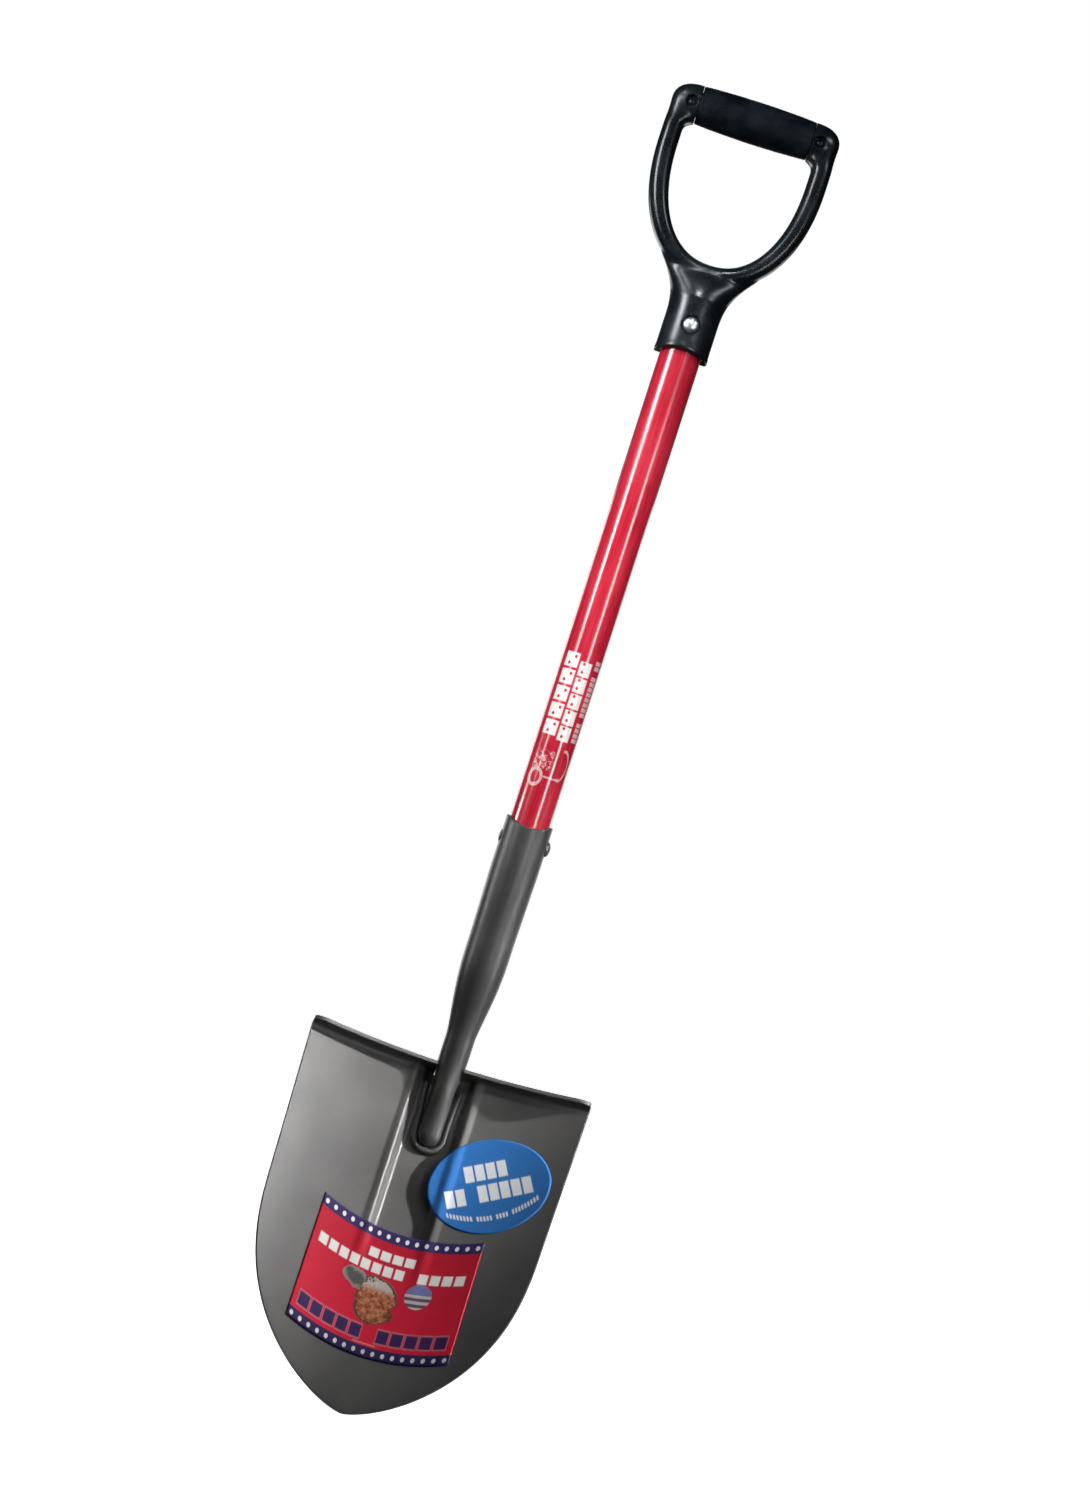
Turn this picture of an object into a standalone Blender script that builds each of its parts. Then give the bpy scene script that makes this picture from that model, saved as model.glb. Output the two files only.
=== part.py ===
"""Round point shovel with a D-grip: pressed steel blade, formed steel socket, fibreglass shaft.

Metres, +Z up along the shaft. The tip of the blade stands at z = 0 and the scoop faces -Y.
Pieces are placed from the shaft's own axis; one empty carries them, so that the origin ends up
under the middle of the shovel's bounding box.
"""

import math

import bmesh
import bpy
from mathutils import Vector

# ---------------------------------------------------------------- driving dimensions, metres

GAP = 0.0003                    # between pieces that touch
SIDES = 32                      # facets round a turned piece

STEEL = 0.00266                 # 12 gauge sheet
LIFT = math.radians(20.0)       # the blade leans back from the shaft's line by this much
BLADE_LENGTH = 0.2678           # tip to the fold of the step, along the blade
BLADE_HALF_WIDTH = 0.1092       # at the step
POINT_HALF_WIDTH = 0.1043       # where the straight sides end
POINT_LENGTH = 0.149            # from there to the tip, along the blade
POINT_POWERS = (1.43, 2.52)     # of the superellipse that the point follows
DISH = 0.024                    # how far the sides stand forward of the middle
TIP_CURL = 0.006                # how far the tip stands forward
CHANNEL_HALF_WIDTH = 0.0212     # of the pressed channel, at the middle of its wall
CHANNEL_WALL = 0.0075           # width of that wall
CHANNEL_DEPTH = 0.007
CHANNEL_ENDS = (0.055, 0.190)   # where the channel runs out, and where it is fully deep
RIB_HEIGHT = 0.0014             # raised rib along each side of the channel
RIB_CENTRE = 0.0240
RIB_HALF_WIDTH = 0.0065
STEP_DEPTH = 0.015              # forward-turned step along the top
STEP_BEND = 0.003               # inner radius of its fold
STEP_CORNER = 0.012             # length of the rounding at its outer end
NOTCH_HALF_WIDTH = 0.0120       # opening in the step for the neck

NECK_RADIUS = 0.0114
SOCKET_RADIUS = (0.01845, 0.0175)   # at the mouth, and just above the shoulder
SOCKET_WALL = 0.00215
SOCKET_TOP = 0.4523
SOCKET_DIP = 0.005              # the mouth is this much lower in front and behind
BORE_END = 0.262                # the socket is solid below this height
NECK_BEND = 0.268               # the neck starts to lean back here
SHOULDER = (0.2806, 0.3424)     # heights between which the socket narrows to the neck
TONGUE_HALF_WIDTH = 0.0087
TONGUE_HALF_DEPTH = 0.0048      # at its end
TONGUE_LENGTH = 0.0586          # below the top of the blade
BEAD_RADIUS = 0.0025            # weld round the tongue
BEAD_START = 0.009              # how far below the fold it begins

SHAFT_RADIUS = 0.016
SHAFT_BORE = 0.011
SHAFT_ENDS = (0.3527, 0.8710)
PLUG_LENGTHS = (0.105, 0.055)   # lower, upper
SOCKET_RIVET_HEIGHT = 0.4355
GRIP_RIVET_HEIGHT = 0.8510
RIVET_SHANK = 0.003
RIVET_HEAD = 0.006
RIVET_SEAT = 0.008              # radius of the recess round a rivet head

COLLAR_RADIUS = 0.0207
COLLAR_BOTTOM = 0.8255
COLLAR_ARCH = 0.004             # its mouth is this much higher in front and behind
GRIP_TOP = 1.0329
EAR_TOP = 1.0305                # the ears end a little below the crown of the sleeve
EAR_CORNER = 0.0130
EAR_FILLET = 0.005
GRIP_HALF_WIDTH = 0.0665
GRIP_HALF_DEPTH = 0.0110
GRIP_SPRING = 0.984             # height where the straight arms turn into the bow
OUTER_DROP = 0.0975             # of the bow's outside, below that height
INNER_DROP = 0.0833
HOLE_HALF_WIDTH = 0.0519
BOW_POWER = 2.2
BAR_HEIGHT = 0.0326
SLEEVE_HALF_LENGTH = 0.0452
SLEEVE_RADIUS = (0.0148, 0.0163)    # at its ends and in the middle
SLEEVE_FLATTEN = 0.86           # its depth over its height
CORE_RADIUS = 0.0100

LABEL_GAP = 0.0007
LABEL_THICKNESS = 0.0003
LABEL_CENTRE = (0.0015, 0.1024)    # across and up the blade
LABEL_HALF_SIZE = (0.0623, 0.0476)
LABEL_SMILE = 0.0120            # its middle hangs lower than its corners
OVAL_CENTRE = (0.0540, 0.1920)
OVAL_HALF_SIZE = (0.0462, 0.0360)
OVAL_TILT = math.radians(27.0)

# ---------------------------------------------------------------- derived places

CHANNEL_FLOOR_Y = NECK_RADIUS + GAP + 0.0001
BLADE_Y = CHANNEL_FLOOR_Y - BLADE_LENGTH * math.sin(LIFT) - CHANNEL_DEPTH * math.cos(LIFT)
BLADE_Z = (STEEL - TIP_CURL) * math.sin(LIFT) + 0.0001
BAR_Z = GRIP_TOP - BAR_HEIGHT / 2
RIVET_SEAT_DEPTH = 0.0020
GRIP_SEAT = COLLAR_RADIUS - RIVET_SEAT_DEPTH
SOCKET_SEAT = SOCKET_RADIUS[0] - 0.0008
RIVET_DOME = 0.0034
WASHER_THICKNESS = 0.0012
FRONT_Y = BLADE_Y - TIP_CURL * math.cos(LIFT)
BACK_Y = GRIP_SEAT + WASHER_THICKNESS + 2 * GAP + 0.0022
AXIS_Y = -(FRONT_Y + BACK_Y) / 2


def clamp(value):
    return min(1.0, max(0.0, value))


def smooth(value):
    value = clamp(value)
    return value * value * (3 - 2 * value)


# ---------------------------------------------------------------- scene and materials

def clear_scene():
    for obj in list(bpy.data.objects):
        bpy.data.objects.remove(obj, do_unlink=True)


def new_collection(name):
    collection = bpy.data.collections.new(name)
    bpy.context.scene.collection.children.link(collection)
    return collection


def new_material(name, colour, roughness, metallic=0.0):
    material = bpy.data.materials.new(name)
    material.use_nodes = True
    shader = material.node_tree.nodes["Principled BSDF"]
    shader.inputs["Base Color"].default_value = (*colour, 1.0)
    shader.inputs["Roughness"].default_value = roughness
    shader.inputs["Metallic"].default_value = metallic
    material.diffuse_color = (*colour, 1.0)
    return material


clear_scene()
PARTS = new_collection("round_point_shovel")
CUTTERS = new_collection("cutters")

BLADE_PAINT = new_material("charcoal_blade_paint", (0.085, 0.085, 0.085), 0.38, 0.35)
SOCKET_PAINT = new_material("charcoal_socket_paint", (0.060, 0.060, 0.060), 0.34, 0.35)
WELD_PAINT = new_material("painted_weld", (0.055, 0.055, 0.055), 0.42, 0.35)
FIBREGLASS = new_material("red_fibreglass", (0.60, 0.015, 0.035), 0.22)
PLUG_PLASTIC = new_material("plug_plastic", (0.62, 0.58, 0.48), 0.60)
RIVET_STEEL = new_material("bright_rivet", (0.80, 0.81, 0.82), 0.22, 1.0)
DARK_RIVET = new_material("painted_rivet", (0.10, 0.10, 0.10), 0.35, 0.6)
WASHER_STEEL = new_material("washer_zinc", (0.62, 0.63, 0.64), 0.35, 1.0)
GRIP_PLASTIC = new_material("black_grip_plastic", (0.010, 0.014, 0.017), 0.25)
SLEEVE_RUBBER = new_material("sleeve_rubber", (0.014, 0.019, 0.023), 0.62)
LABEL_PAPER = new_material("red_label", (0.53, 0.015, 0.035), 0.45)
OVAL_PAPER = new_material("blue_label", (0.03, 0.20, 0.55), 0.45)

FRAME = bpy.data.objects.new("shaft_line", None)
FRAME.location = (0.0, AXIS_Y, 0.0)
PARTS.objects.link(FRAME)


# ---------------------------------------------------------------- making objects

def place(name, mesh, material, location=(0, 0, 0), rotation=(0, 0, 0), collection=PARTS):
    """An object under the shaft line's empty, or a hidden cutter."""
    obj = bpy.data.objects.new(name, mesh)
    if material:
        mesh.materials.append(material)
    obj.location = location
    obj.rotation_euler = rotation
    obj.parent = FRAME
    collection.objects.link(obj)
    if collection is CUTTERS:
        obj.hide_render = True
        obj.display_type = "WIRE"
    return obj


def shade_round(mesh, angle=35):
    mesh.shade_smooth()
    mesh.set_sharp_from_angle(angle=math.radians(angle))


def mesh_of(name, points, faces=(), edges=()):
    mesh = bpy.data.meshes.new(name)
    mesh.from_pydata([tuple(point) for point in points], list(edges), list(faces))
    mesh.update()
    return mesh


def turned(name, profile, material, closed=False, sides=SIDES, **where):
    """A body of revolution about its own Z, from (radius, height) points running down its outside."""
    count = len(profile)
    edges = [(i, i + 1) for i in range(count - 1)]
    if closed:
        edges.append((count - 1, 0))
    mesh = mesh_of(name, [(radius, 0, height) for radius, height in profile], edges=edges)
    obj = place(name, mesh, material, **where)
    screw = obj.modifiers.new("Screw", "SCREW")
    screw.axis = "Z"
    screw.steps = sides
    screw.render_steps = sides
    screw.use_merge_vertices = True
    screw.merge_threshold = 0.0001
    screw.use_smooth_shade = True
    return obj


def rivet_cutter(name, seat_at, seat_radius, location, rotation):
    """A hidden cutter: a hole for the shank, opening into a flat seat for the head at each end."""
    hole, beyond = RIVET_SHANK + GAP, 0.03
    profile = [(0, beyond), (seat_radius, beyond), (seat_radius, seat_at), (hole, seat_at),
               (hole, -seat_at), (seat_radius, -seat_at), (seat_radius, -beyond), (0, -beyond)]
    return turned(name, profile, None, sides=28, location=location, rotation=rotation, collection=CUTTERS)


def boolean(obj, other, operation="DIFFERENCE"):
    modifier = obj.modifiers.new(other.name, "BOOLEAN")
    modifier.operation = operation
    modifier.object = other


def curve_mesh(name, curve_data):
    """The closed mesh of a curve, with its caps welded."""
    curve = bpy.data.objects.new(name, curve_data)
    bpy.context.scene.collection.objects.link(curve)
    graph = bpy.context.evaluated_depsgraph_get()
    mesh = bpy.data.meshes.new_from_object(curve.evaluated_get(graph))
    bpy.data.objects.remove(curve, do_unlink=True)
    shape = bmesh.new()
    shape.from_mesh(mesh)
    bmesh.ops.remove_doubles(shape, verts=shape.verts, dist=0.00002)
    bmesh.ops.recalc_face_normals(shape, faces=shape.faces)
    shape.to_mesh(mesh)
    shape.free()
    return mesh


def dome(radius, height, base, steps=5):
    """Profile points of a rounded head from its crown on the axis to its rim at height base."""
    angles = [math.pi / 2 * i / steps for i in range(steps + 1)]
    return [(radius * math.sin(a), base + height * math.cos(a)) for a in angles]


# ---------------------------------------------------------------- blade

def half_width(up):
    """Half the blade's width between its straight sides, carried on below them."""
    share = (up - POINT_LENGTH) / (BLADE_LENGTH - POINT_LENGTH)
    return POINT_HALF_WIDTH + (BLADE_HALF_WIDTH - POINT_HALF_WIDTH) * share


def point_edge(side):
    """How far up the blade the cut edge lies, at this share of the half width."""
    across, along = POINT_POWERS
    return POINT_LENGTH * (1 - (1 - abs(side) ** across) ** (1 / along))


def dished(across, up):
    """How far forward the blade stands here, without its channel."""
    return DISH * (across / BLADE_HALF_WIDTH) ** 2 + TIP_CURL * (1 - up / BLADE_LENGTH) ** 2


def channel(across, up):
    """How far back the pressed channel lies here."""
    start, full = CHANNEL_ENDS
    depth = CHANNEL_DEPTH * smooth((up - start) / (full - start))
    return depth * smooth((CHANNEL_HALF_WIDTH - abs(across)) / CHANNEL_WALL + 0.5)


def rib(across, up):
    """How far forward the rib beside the channel stands here."""
    start, full = CHANNEL_ENDS
    share = clamp(abs(abs(across) - RIB_CENTRE) / RIB_HALF_WIDTH)
    return RIB_HEIGHT * smooth((up - start) / (full - start)) * (1 - share * share) ** 2


def blade_front(across, up):
    return Vector((across, channel(across, up) - dished(across, up) - rib(across, up), up))


def step_depth(across):
    """The step's depth, rounded off towards its outer end."""
    start = BLADE_HALF_WIDTH - STEP_CORNER
    share = clamp((abs(across) - start) / STEP_CORNER)
    return STEP_DEPTH * (0.4 + 0.6 * math.sqrt(1 - share * share))


def blade_columns():
    """Shares of the half width: even over the channel, then closing up towards the side."""
    inner, outer = 8, 9
    notch = NOTCH_HALF_WIDTH / BLADE_HALF_WIDTH
    edge = 0.28
    half = [notch * i / 2 for i in range(2)]
    half += [notch + (edge - notch) * i / (inner - 2) for i in range(inner - 1)]
    half += [edge + (1 - edge) * math.sin(math.pi / 2 * i / outer) for i in range(1, outer + 1)]
    return [-side for side in reversed(half[1:])] + half


def step_fold(across, turns=3):
    """Points from the end of the flat sheet, round the fold and out along the step."""
    back = blade_front(across, BLADE_LENGTH).y
    depth = step_depth(across)
    bend = min(STEP_BEND, depth / 2)
    points = []
    for i in range(1, turns + 1):
        angle = math.pi / 2 * i / turns
        points.append((across, back - bend * (1 - math.cos(angle)),
                       BLADE_LENGTH - bend * (1 - math.sin(angle))))
    points.append((across, -dished(across, BLADE_LENGTH) - depth, BLADE_LENGTH))
    return points


def make_blade():
    """Pressed sheet: dish, channel, point and two steps in one surface, thickened to the gauge."""
    columns = blade_columns()
    rows = 17
    points, faces, above = [], [], []
    for side in columns:
        low = point_edge(side)
        top = BLADE_LENGTH - min(STEP_BEND, step_depth(side * BLADE_HALF_WIDTH) / 2)
        for row in range(rows + 1):
            up = low + (top - low) * row / rows
            points.append(blade_front(side * half_width(up), up))
    for side in columns:
        across = side * BLADE_HALF_WIDTH
        has_step = abs(across) >= NOTCH_HALF_WIDTH - 1e-6
        above.append(len(points) if has_step else None)
        if has_step:
            points += step_fold(across)
    for i in range(len(columns) - 1):
        left, right = i * (rows + 1), (i + 1) * (rows + 1)
        for row in range(rows):
            faces.append((left + row, right + row, right + row + 1, left + row + 1))
        middle = abs(columns[i] + columns[i + 1]) / 2 * BLADE_HALF_WIDTH
        if middle < NOTCH_HALF_WIDTH:
            continue
        left_line = [left + rows] + [above[i] + k for k in range(4)]
        right_line = [right + rows] + [above[i + 1] + k for k in range(4)]
        for k in range(4):
            faces.append((left_line[k], right_line[k], right_line[k + 1], left_line[k + 1]))
    mesh = mesh_of("blade", points, faces)
    shade_round(mesh)
    blade = place("blade", mesh, BLADE_PAINT, (0, BLADE_Y, BLADE_Z), (-LIFT, 0, 0))
    shell = blade.modifiers.new("Solidify", "SOLIDIFY")
    shell.thickness = STEEL
    shell.offset = -1
    shell.use_even_offset = True


# ---------------------------------------------------------------- socket and weld

def socket_radius(height):
    """Outside radius of the socket and its neck."""
    mouth, body = SOCKET_RADIUS
    low, high = SHOULDER
    wide = mouth + (body - mouth) * clamp((0.41 - height) / 0.05)
    share = clamp((height - low) / (high - low)) ** 0.75
    return NECK_RADIUS + (wide - NECK_RADIUS) * smooth(share)


def blade_point(up, forward):
    """A point on the blade's middle line, in the shaft line's frame."""
    cos, sin = math.cos(LIFT), math.sin(LIFT)
    return Vector((0, BLADE_Y + up * sin - forward * cos, BLADE_Z + up * cos + forward * sin))


def ring(centre, lean, half_width_here, half_depth, dip=0.0):
    """Points of one section of the socket, leaning back by an angle like the blade does."""
    points = []
    for i in range(SIDES):
        angle = 2 * math.pi * i / SIDES
        across, forward = half_width_here * math.cos(angle), half_depth * math.sin(angle)
        drop = dip * math.sin(angle) ** 2
        points.append(Vector(centre) + Vector((across, -forward * math.cos(lean),
                                               forward * math.sin(lean) - drop)))
    return points


def tongue_width(down):
    return TONGUE_HALF_WIDTH + (NECK_RADIUS - TONGUE_HALF_WIDTH) * smooth((0.018 - down) / 0.030)


def tongue_section(down):
    """(centre, half width, half depth) of the tongue this far below the top of the blade."""
    run = TONGUE_LENGTH - TONGUE_HALF_WIDTH
    depth = NECK_RADIUS + (TONGUE_HALF_DEPTH - NECK_RADIUS) * smooth(down / TONGUE_LENGTH)
    width = tongue_width(down)
    past = clamp((down - run) / TONGUE_HALF_WIDTH)
    width *= math.sqrt(1 - past * past)
    lowered = depth * (1 - 0.45 * past * past)
    up = BLADE_LENGTH - down
    floor = dished(0, up) - channel(0, up) + GAP
    return blade_point(up, floor + lowered), width, lowered


def socket_rings():
    """Outer sections from the mouth to the tongue's end."""
    rings = []
    heights = [SOCKET_TOP, 0.445, 0.41, 0.385, 0.36]
    low, high = SHOULDER
    heights += [high - (high - low) * i / 8 for i in range(9)]
    for i, height in enumerate(heights):
        radius = socket_radius(height)
        rings.append(ring((0, 0, height), 0, radius, radius, SOCKET_DIP if i == 0 else 0))
    start = Vector((0, 0, NECK_BEND))
    first_down = 0.012
    end, width, depth = tongue_section(first_down)
    knee = blade_point(BLADE_LENGTH, dished(0, BLADE_LENGTH) - CHANNEL_DEPTH + NECK_RADIUS + GAP)
    knee.y = 0
    for i in range(4):
        share = i / 4
        centre = (1 - share) ** 2 * start + 2 * share * (1 - share) * knee + share ** 2 * end
        middle_width = NECK_RADIUS + (width - NECK_RADIUS) * share ** 2
        middle_depth = NECK_RADIUS + (depth - NECK_RADIUS) * share ** 2
        rings.append(ring(centre, LIFT * share, middle_width, middle_depth))
    run = TONGUE_LENGTH - TONGUE_HALF_WIDTH
    downs = [first_down + (run - first_down) * i / 4 for i in range(5)]
    downs += [run + TONGUE_HALF_WIDTH * share for share in (0.45, 0.75, 0.93)]
    for down in downs:
        centre, width, depth = tongue_section(down)
        rings.append(ring(centre, LIFT, width, depth))
    return rings


def bore_rings():
    """Inner sections, from the end of the hollow up to the mouth."""
    low, high = SHOULDER
    heights = [BORE_END] + [low + (high - low) * i / 5 for i in range(6)] + [0.36, 0.385, 0.41, SOCKET_TOP]
    rings = []
    for height in heights:
        radius = socket_radius(height) - SOCKET_WALL
        rings.append(ring((0, 0, height), 0, radius, radius, SOCKET_DIP if height == SOCKET_TOP else 0))
    return rings


def loft(name, rings):
    """A closed mesh through the rings, with flat ends."""
    points = [point for section in rings for point in section]
    count = len(rings[0])
    faces = []
    for i in range(len(rings) - 1):
        for k in range(count):
            a, b = i * count + k, i * count + (k + 1) % count
            faces.append((a, a + count, b + count, b))
    faces.append(tuple(range(count)))
    faces.append(tuple(range(len(points) - 1, len(points) - 1 - count, -1)))
    mesh = mesh_of(name, points, faces)
    shape = bmesh.new()
    shape.from_mesh(mesh)
    bmesh.ops.recalc_face_normals(shape, faces=shape.faces)
    shape.to_mesh(mesh)
    shape.free()
    shade_round(mesh, 40)
    return mesh


def make_socket():
    """Formed steel socket, neck and the tongue in the blade's channel, hollow down to the neck."""
    mesh = loft("socket", bore_rings() + socket_rings())
    socket = place("socket", mesh, SOCKET_PAINT)
    hole = rivet_cutter("socket_rivet_hole", SOCKET_SEAT, RIVET_HEAD + 2 * GAP,
                        (0, 0, SOCKET_RIVET_HEIGHT), (0, math.pi / 2, 0))
    boolean(socket, hole)
    return hole


def make_weld():
    """Weld bead in a U round the tongue, on the floor of the channel."""
    offset = TONGUE_HALF_WIDTH + BEAD_RADIUS + 2 * GAP
    turn = BLADE_LENGTH - TONGUE_LENGTH + TONGUE_HALF_WIDTH
    top = BLADE_LENGTH - BEAD_START
    side = [(offset + 0.0022 * (1 - i / 3) ** 2, top + (turn - top) * i / 4) for i in range(4)]
    bow = [(offset * math.cos(math.pi / 2 * i / 6), turn - offset * math.sin(math.pi / 2 * i / 6))
           for i in range(7)]
    half = side + bow
    route = half + [(-across, up) for across, up in reversed(half[:-1])]
    curve = bpy.data.curves.new("weld_path", "CURVE")
    curve.dimensions = "3D"
    curve.bevel_depth = BEAD_RADIUS
    curve.bevel_resolution = 2
    curve.use_fill_caps = True
    spline = curve.splines.new("POLY")
    spline.points.add(len(route) - 1)
    for point, (across, up) in zip(spline.points, route):
        floor = channel(across, up) - dished(across, up)
        point.co = (across, floor - BEAD_RADIUS - GAP, up, 1)
    mesh = curve_mesh("weld_bead", curve)
    shade_round(mesh, 50)
    place("socket_weld", mesh, WELD_PAINT, (0, BLADE_Y, BLADE_Z), (-LIFT, 0, 0))


# ---------------------------------------------------------------- shaft, plugs and rivets

def make_shaft(rivet_hole, grip_hole):
    """Fibreglass tube, its lower end ground to the socket's taper, with a plug in each end."""
    low, high = SHAFT_ENDS
    tapered = socket_radius(low) - SOCKET_WALL - GAP
    profile = [(SHAFT_BORE, high), (SHAFT_RADIUS - 0.001, high), (SHAFT_RADIUS, high - 0.001),
               (SHAFT_RADIUS, 0.41), (socket_radius(0.385) - SOCKET_WALL - GAP, 0.385),
               (tapered, 0.36), (tapered, low), (SHAFT_BORE, low)]
    shaft = turned("shaft", profile, FIBREGLASS, closed=True)
    boolean(shaft, rivet_hole)
    boolean(shaft, grip_hole)
    lower_length, upper_length = PLUG_LENGTHS
    radius = SHAFT_BORE - GAP
    lower = turned("lower_shaft_plug", [(0, low + lower_length), (radius, low + lower_length),
                                        (radius, low), (0, low)], PLUG_PLASTIC, sides=24)
    boolean(lower, rivet_hole)
    upper = turned("upper_shaft_plug", [(0, high), (radius, high), (radius, high - upper_length),
                                        (0, high - upper_length)], PLUG_PLASTIC, sides=24)
    boolean(upper, grip_hole)


def rivet_profile(head_at, tail_at, tail_radius, tail_height):
    """Head at the top, shank, and the formed tail at the bottom."""
    head = dome(RIVET_HEAD, RIVET_DOME, head_at + GAP)
    formed = reversed(dome(tail_radius, tail_height, tail_at + GAP, 3))
    tail = [(radius, -height) for radius, height in formed]
    return head + [(RIVET_SHANK, head_at + GAP), (RIVET_SHANK, -tail_at - GAP)] + tail


def make_rivets():
    """Socket rivet across the shaft with its head on +X; grip rivet front to back, over a washer."""
    profile = rivet_profile(SOCKET_SEAT, SOCKET_SEAT, 0.0052, 0.0018)
    turned("socket_rivet", profile, DARK_RIVET, sides=20, location=(0, 0, SOCKET_RIVET_HEIGHT),
           rotation=(0, math.pi / 2, 0))
    washer_top = GRIP_SEAT + GAP + WASHER_THICKNESS
    profile = rivet_profile(GRIP_SEAT, washer_top, 0.0048, 0.0022)
    turned("grip_rivet", profile, RIVET_STEEL, sides=20, location=(0, 0, GRIP_RIVET_HEIGHT),
           rotation=(math.pi / 2, 0, 0))
    inner, outer = RIVET_SHANK + GAP, 0.0070
    low, high = -washer_top, -GRIP_SEAT - GAP
    ring_profile = [(inner, high), (outer, high), (outer, low), (inner, low)]
    turned("grip_rivet_washer", ring_profile, WASHER_STEEL, closed=True, sides=20,
           location=(0, 0, GRIP_RIVET_HEIGHT), rotation=(math.pi / 2, 0, 0))


# ---------------------------------------------------------------- D-grip

def bow_point(half_width_here, drop, angle):
    """A point of a superellipse bow, by angle from its side (0) through its bottom to its other side."""
    across = math.copysign(abs(math.cos(angle)) ** (2 / BOW_POWER), math.cos(angle))
    return Vector((half_width_here * across, 0, GRIP_SPRING - drop * math.sin(angle) ** (2 / BOW_POWER)))


def arm_pairs():
    """(outer point, inner point) down one arm, from the top of its ear to where the bow springs."""
    ear, under = SLEEVE_HALF_LENGTH + GAP, GRIP_TOP - BAR_HEIGHT
    pairs = []
    for degrees in (90, 60, 30, 0):
        angle = math.radians(degrees)
        height = EAR_TOP - EAR_CORNER * (1 - math.sin(angle))
        outer = GRIP_HALF_WIDTH - EAR_CORNER * (1 - math.cos(angle))
        pairs.append((outer, ear + (0.0015 if degrees == 90 else 0), height))
    pairs.append((GRIP_HALF_WIDTH, ear, under + 0.0006))
    for degrees in (90, 55, 25, 0):
        angle = math.radians(degrees)
        inner = HOLE_HALF_WIDTH - EAR_FILLET * (1 - math.cos(angle))
        pairs.append((GRIP_HALF_WIDTH, inner, under - EAR_FILLET * (1 - math.sin(angle))))
    return [(Vector((outer, 0, z)), Vector((inner, 0, z))) for outer, inner, z in pairs]


def frame_rings(around=16):
    """Rounded sections of the frame: down one arm, through the bow and up the other arm."""
    arm = arm_pairs()
    bow = []
    for i in range(19):
        angle = math.pi * i / 18
        bow.append((bow_point(GRIP_HALF_WIDTH, OUTER_DROP, angle),
                    bow_point(HOLE_HALF_WIDTH, INNER_DROP, angle)))
    mirrored = [(outer * Vector((-1, 1, 1)), inner * Vector((-1, 1, 1))) for outer, inner in reversed(arm)]
    rings = []
    for outer, inner in arm + bow + mirrored:
        depth = GRIP_HALF_DEPTH - (0.003 if outer.z > EAR_TOP - 0.0001 else 0)
        rings.append(rounded_section((outer + inner) / 2, (outer - inner) / 2, depth, around))
    return rings


def rounded_section(centre, reach, depth, around, power=2.8):
    """A superellipse section: reach is its half width as a vector, depth its half size along Y."""
    points = []
    for k in range(around):
        angle = 2 * math.pi * (k + 0.5) / around
        cos, sin = math.cos(angle), math.sin(angle)
        points.append(centre + reach * math.copysign(abs(cos) ** (2 / power), cos)
                      + Vector((0, depth * math.copysign(abs(sin) ** (2 / power), sin), 0)))
    return points


def neck_rings():
    """Sections of the collar and of the neck that flares from it into the bow."""
    lip = COLLAR_RADIUS + 0.0006
    sections = [(COLLAR_BOTTOM, lip, lip), (COLLAR_BOTTOM + 0.0015, lip, lip),
                (0.8320, COLLAR_RADIUS, COLLAR_RADIUS), (0.8680, COLLAR_RADIUS, COLLAR_RADIUS),
                (0.8690, COLLAR_RADIUS - 0.0005, COLLAR_RADIUS - 0.0005), (0.8773, 0.0226, 0.0190),
                (0.8835, 0.0257, 0.0163), (0.8890, 0.0292, 0.0132), (0.8940, 0.0322, 0.0098),
                (0.8975, 0.0330, 0.0060)]
    return [ring((0, 0, height), 0, half, deep, -COLLAR_ARCH if height < 0.83 else 0)
            for height, half, deep in sections]


def make_grip_frame():
    """Moulded frame: two arms and bow, the collar for the shaft and the core of the bar."""
    grip = place("d_grip", loft("d_grip", frame_rings()), GRIP_PLASTIC)
    core = turned("bar_core", [(0, 0.055), (CORE_RADIUS, 0.055), (CORE_RADIUS, -0.055), (0, -0.055)], None,
                  sides=24, location=(0, 0, BAR_Z), rotation=(0, math.pi / 2, 0), collection=CUTTERS)
    boolean(grip, core, "UNION")
    boolean(grip, place("grip_neck", loft("grip_neck", neck_rings()), None, collection=CUTTERS), "UNION")
    bore, depth = SHAFT_RADIUS + GAP, SHAFT_ENDS[1] + GAP
    boolean(grip, turned("shaft_bore", [(0, depth), (bore, depth), (bore, 0.8), (0, 0.8)], None,
                         collection=CUTTERS))
    hole = rivet_cutter("grip_rivet_hole", GRIP_SEAT, RIVET_SEAT, (0, 0, GRIP_RIVET_HEIGHT),
                        (math.pi / 2, 0, 0))
    boolean(grip, hole)
    return hole


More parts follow.
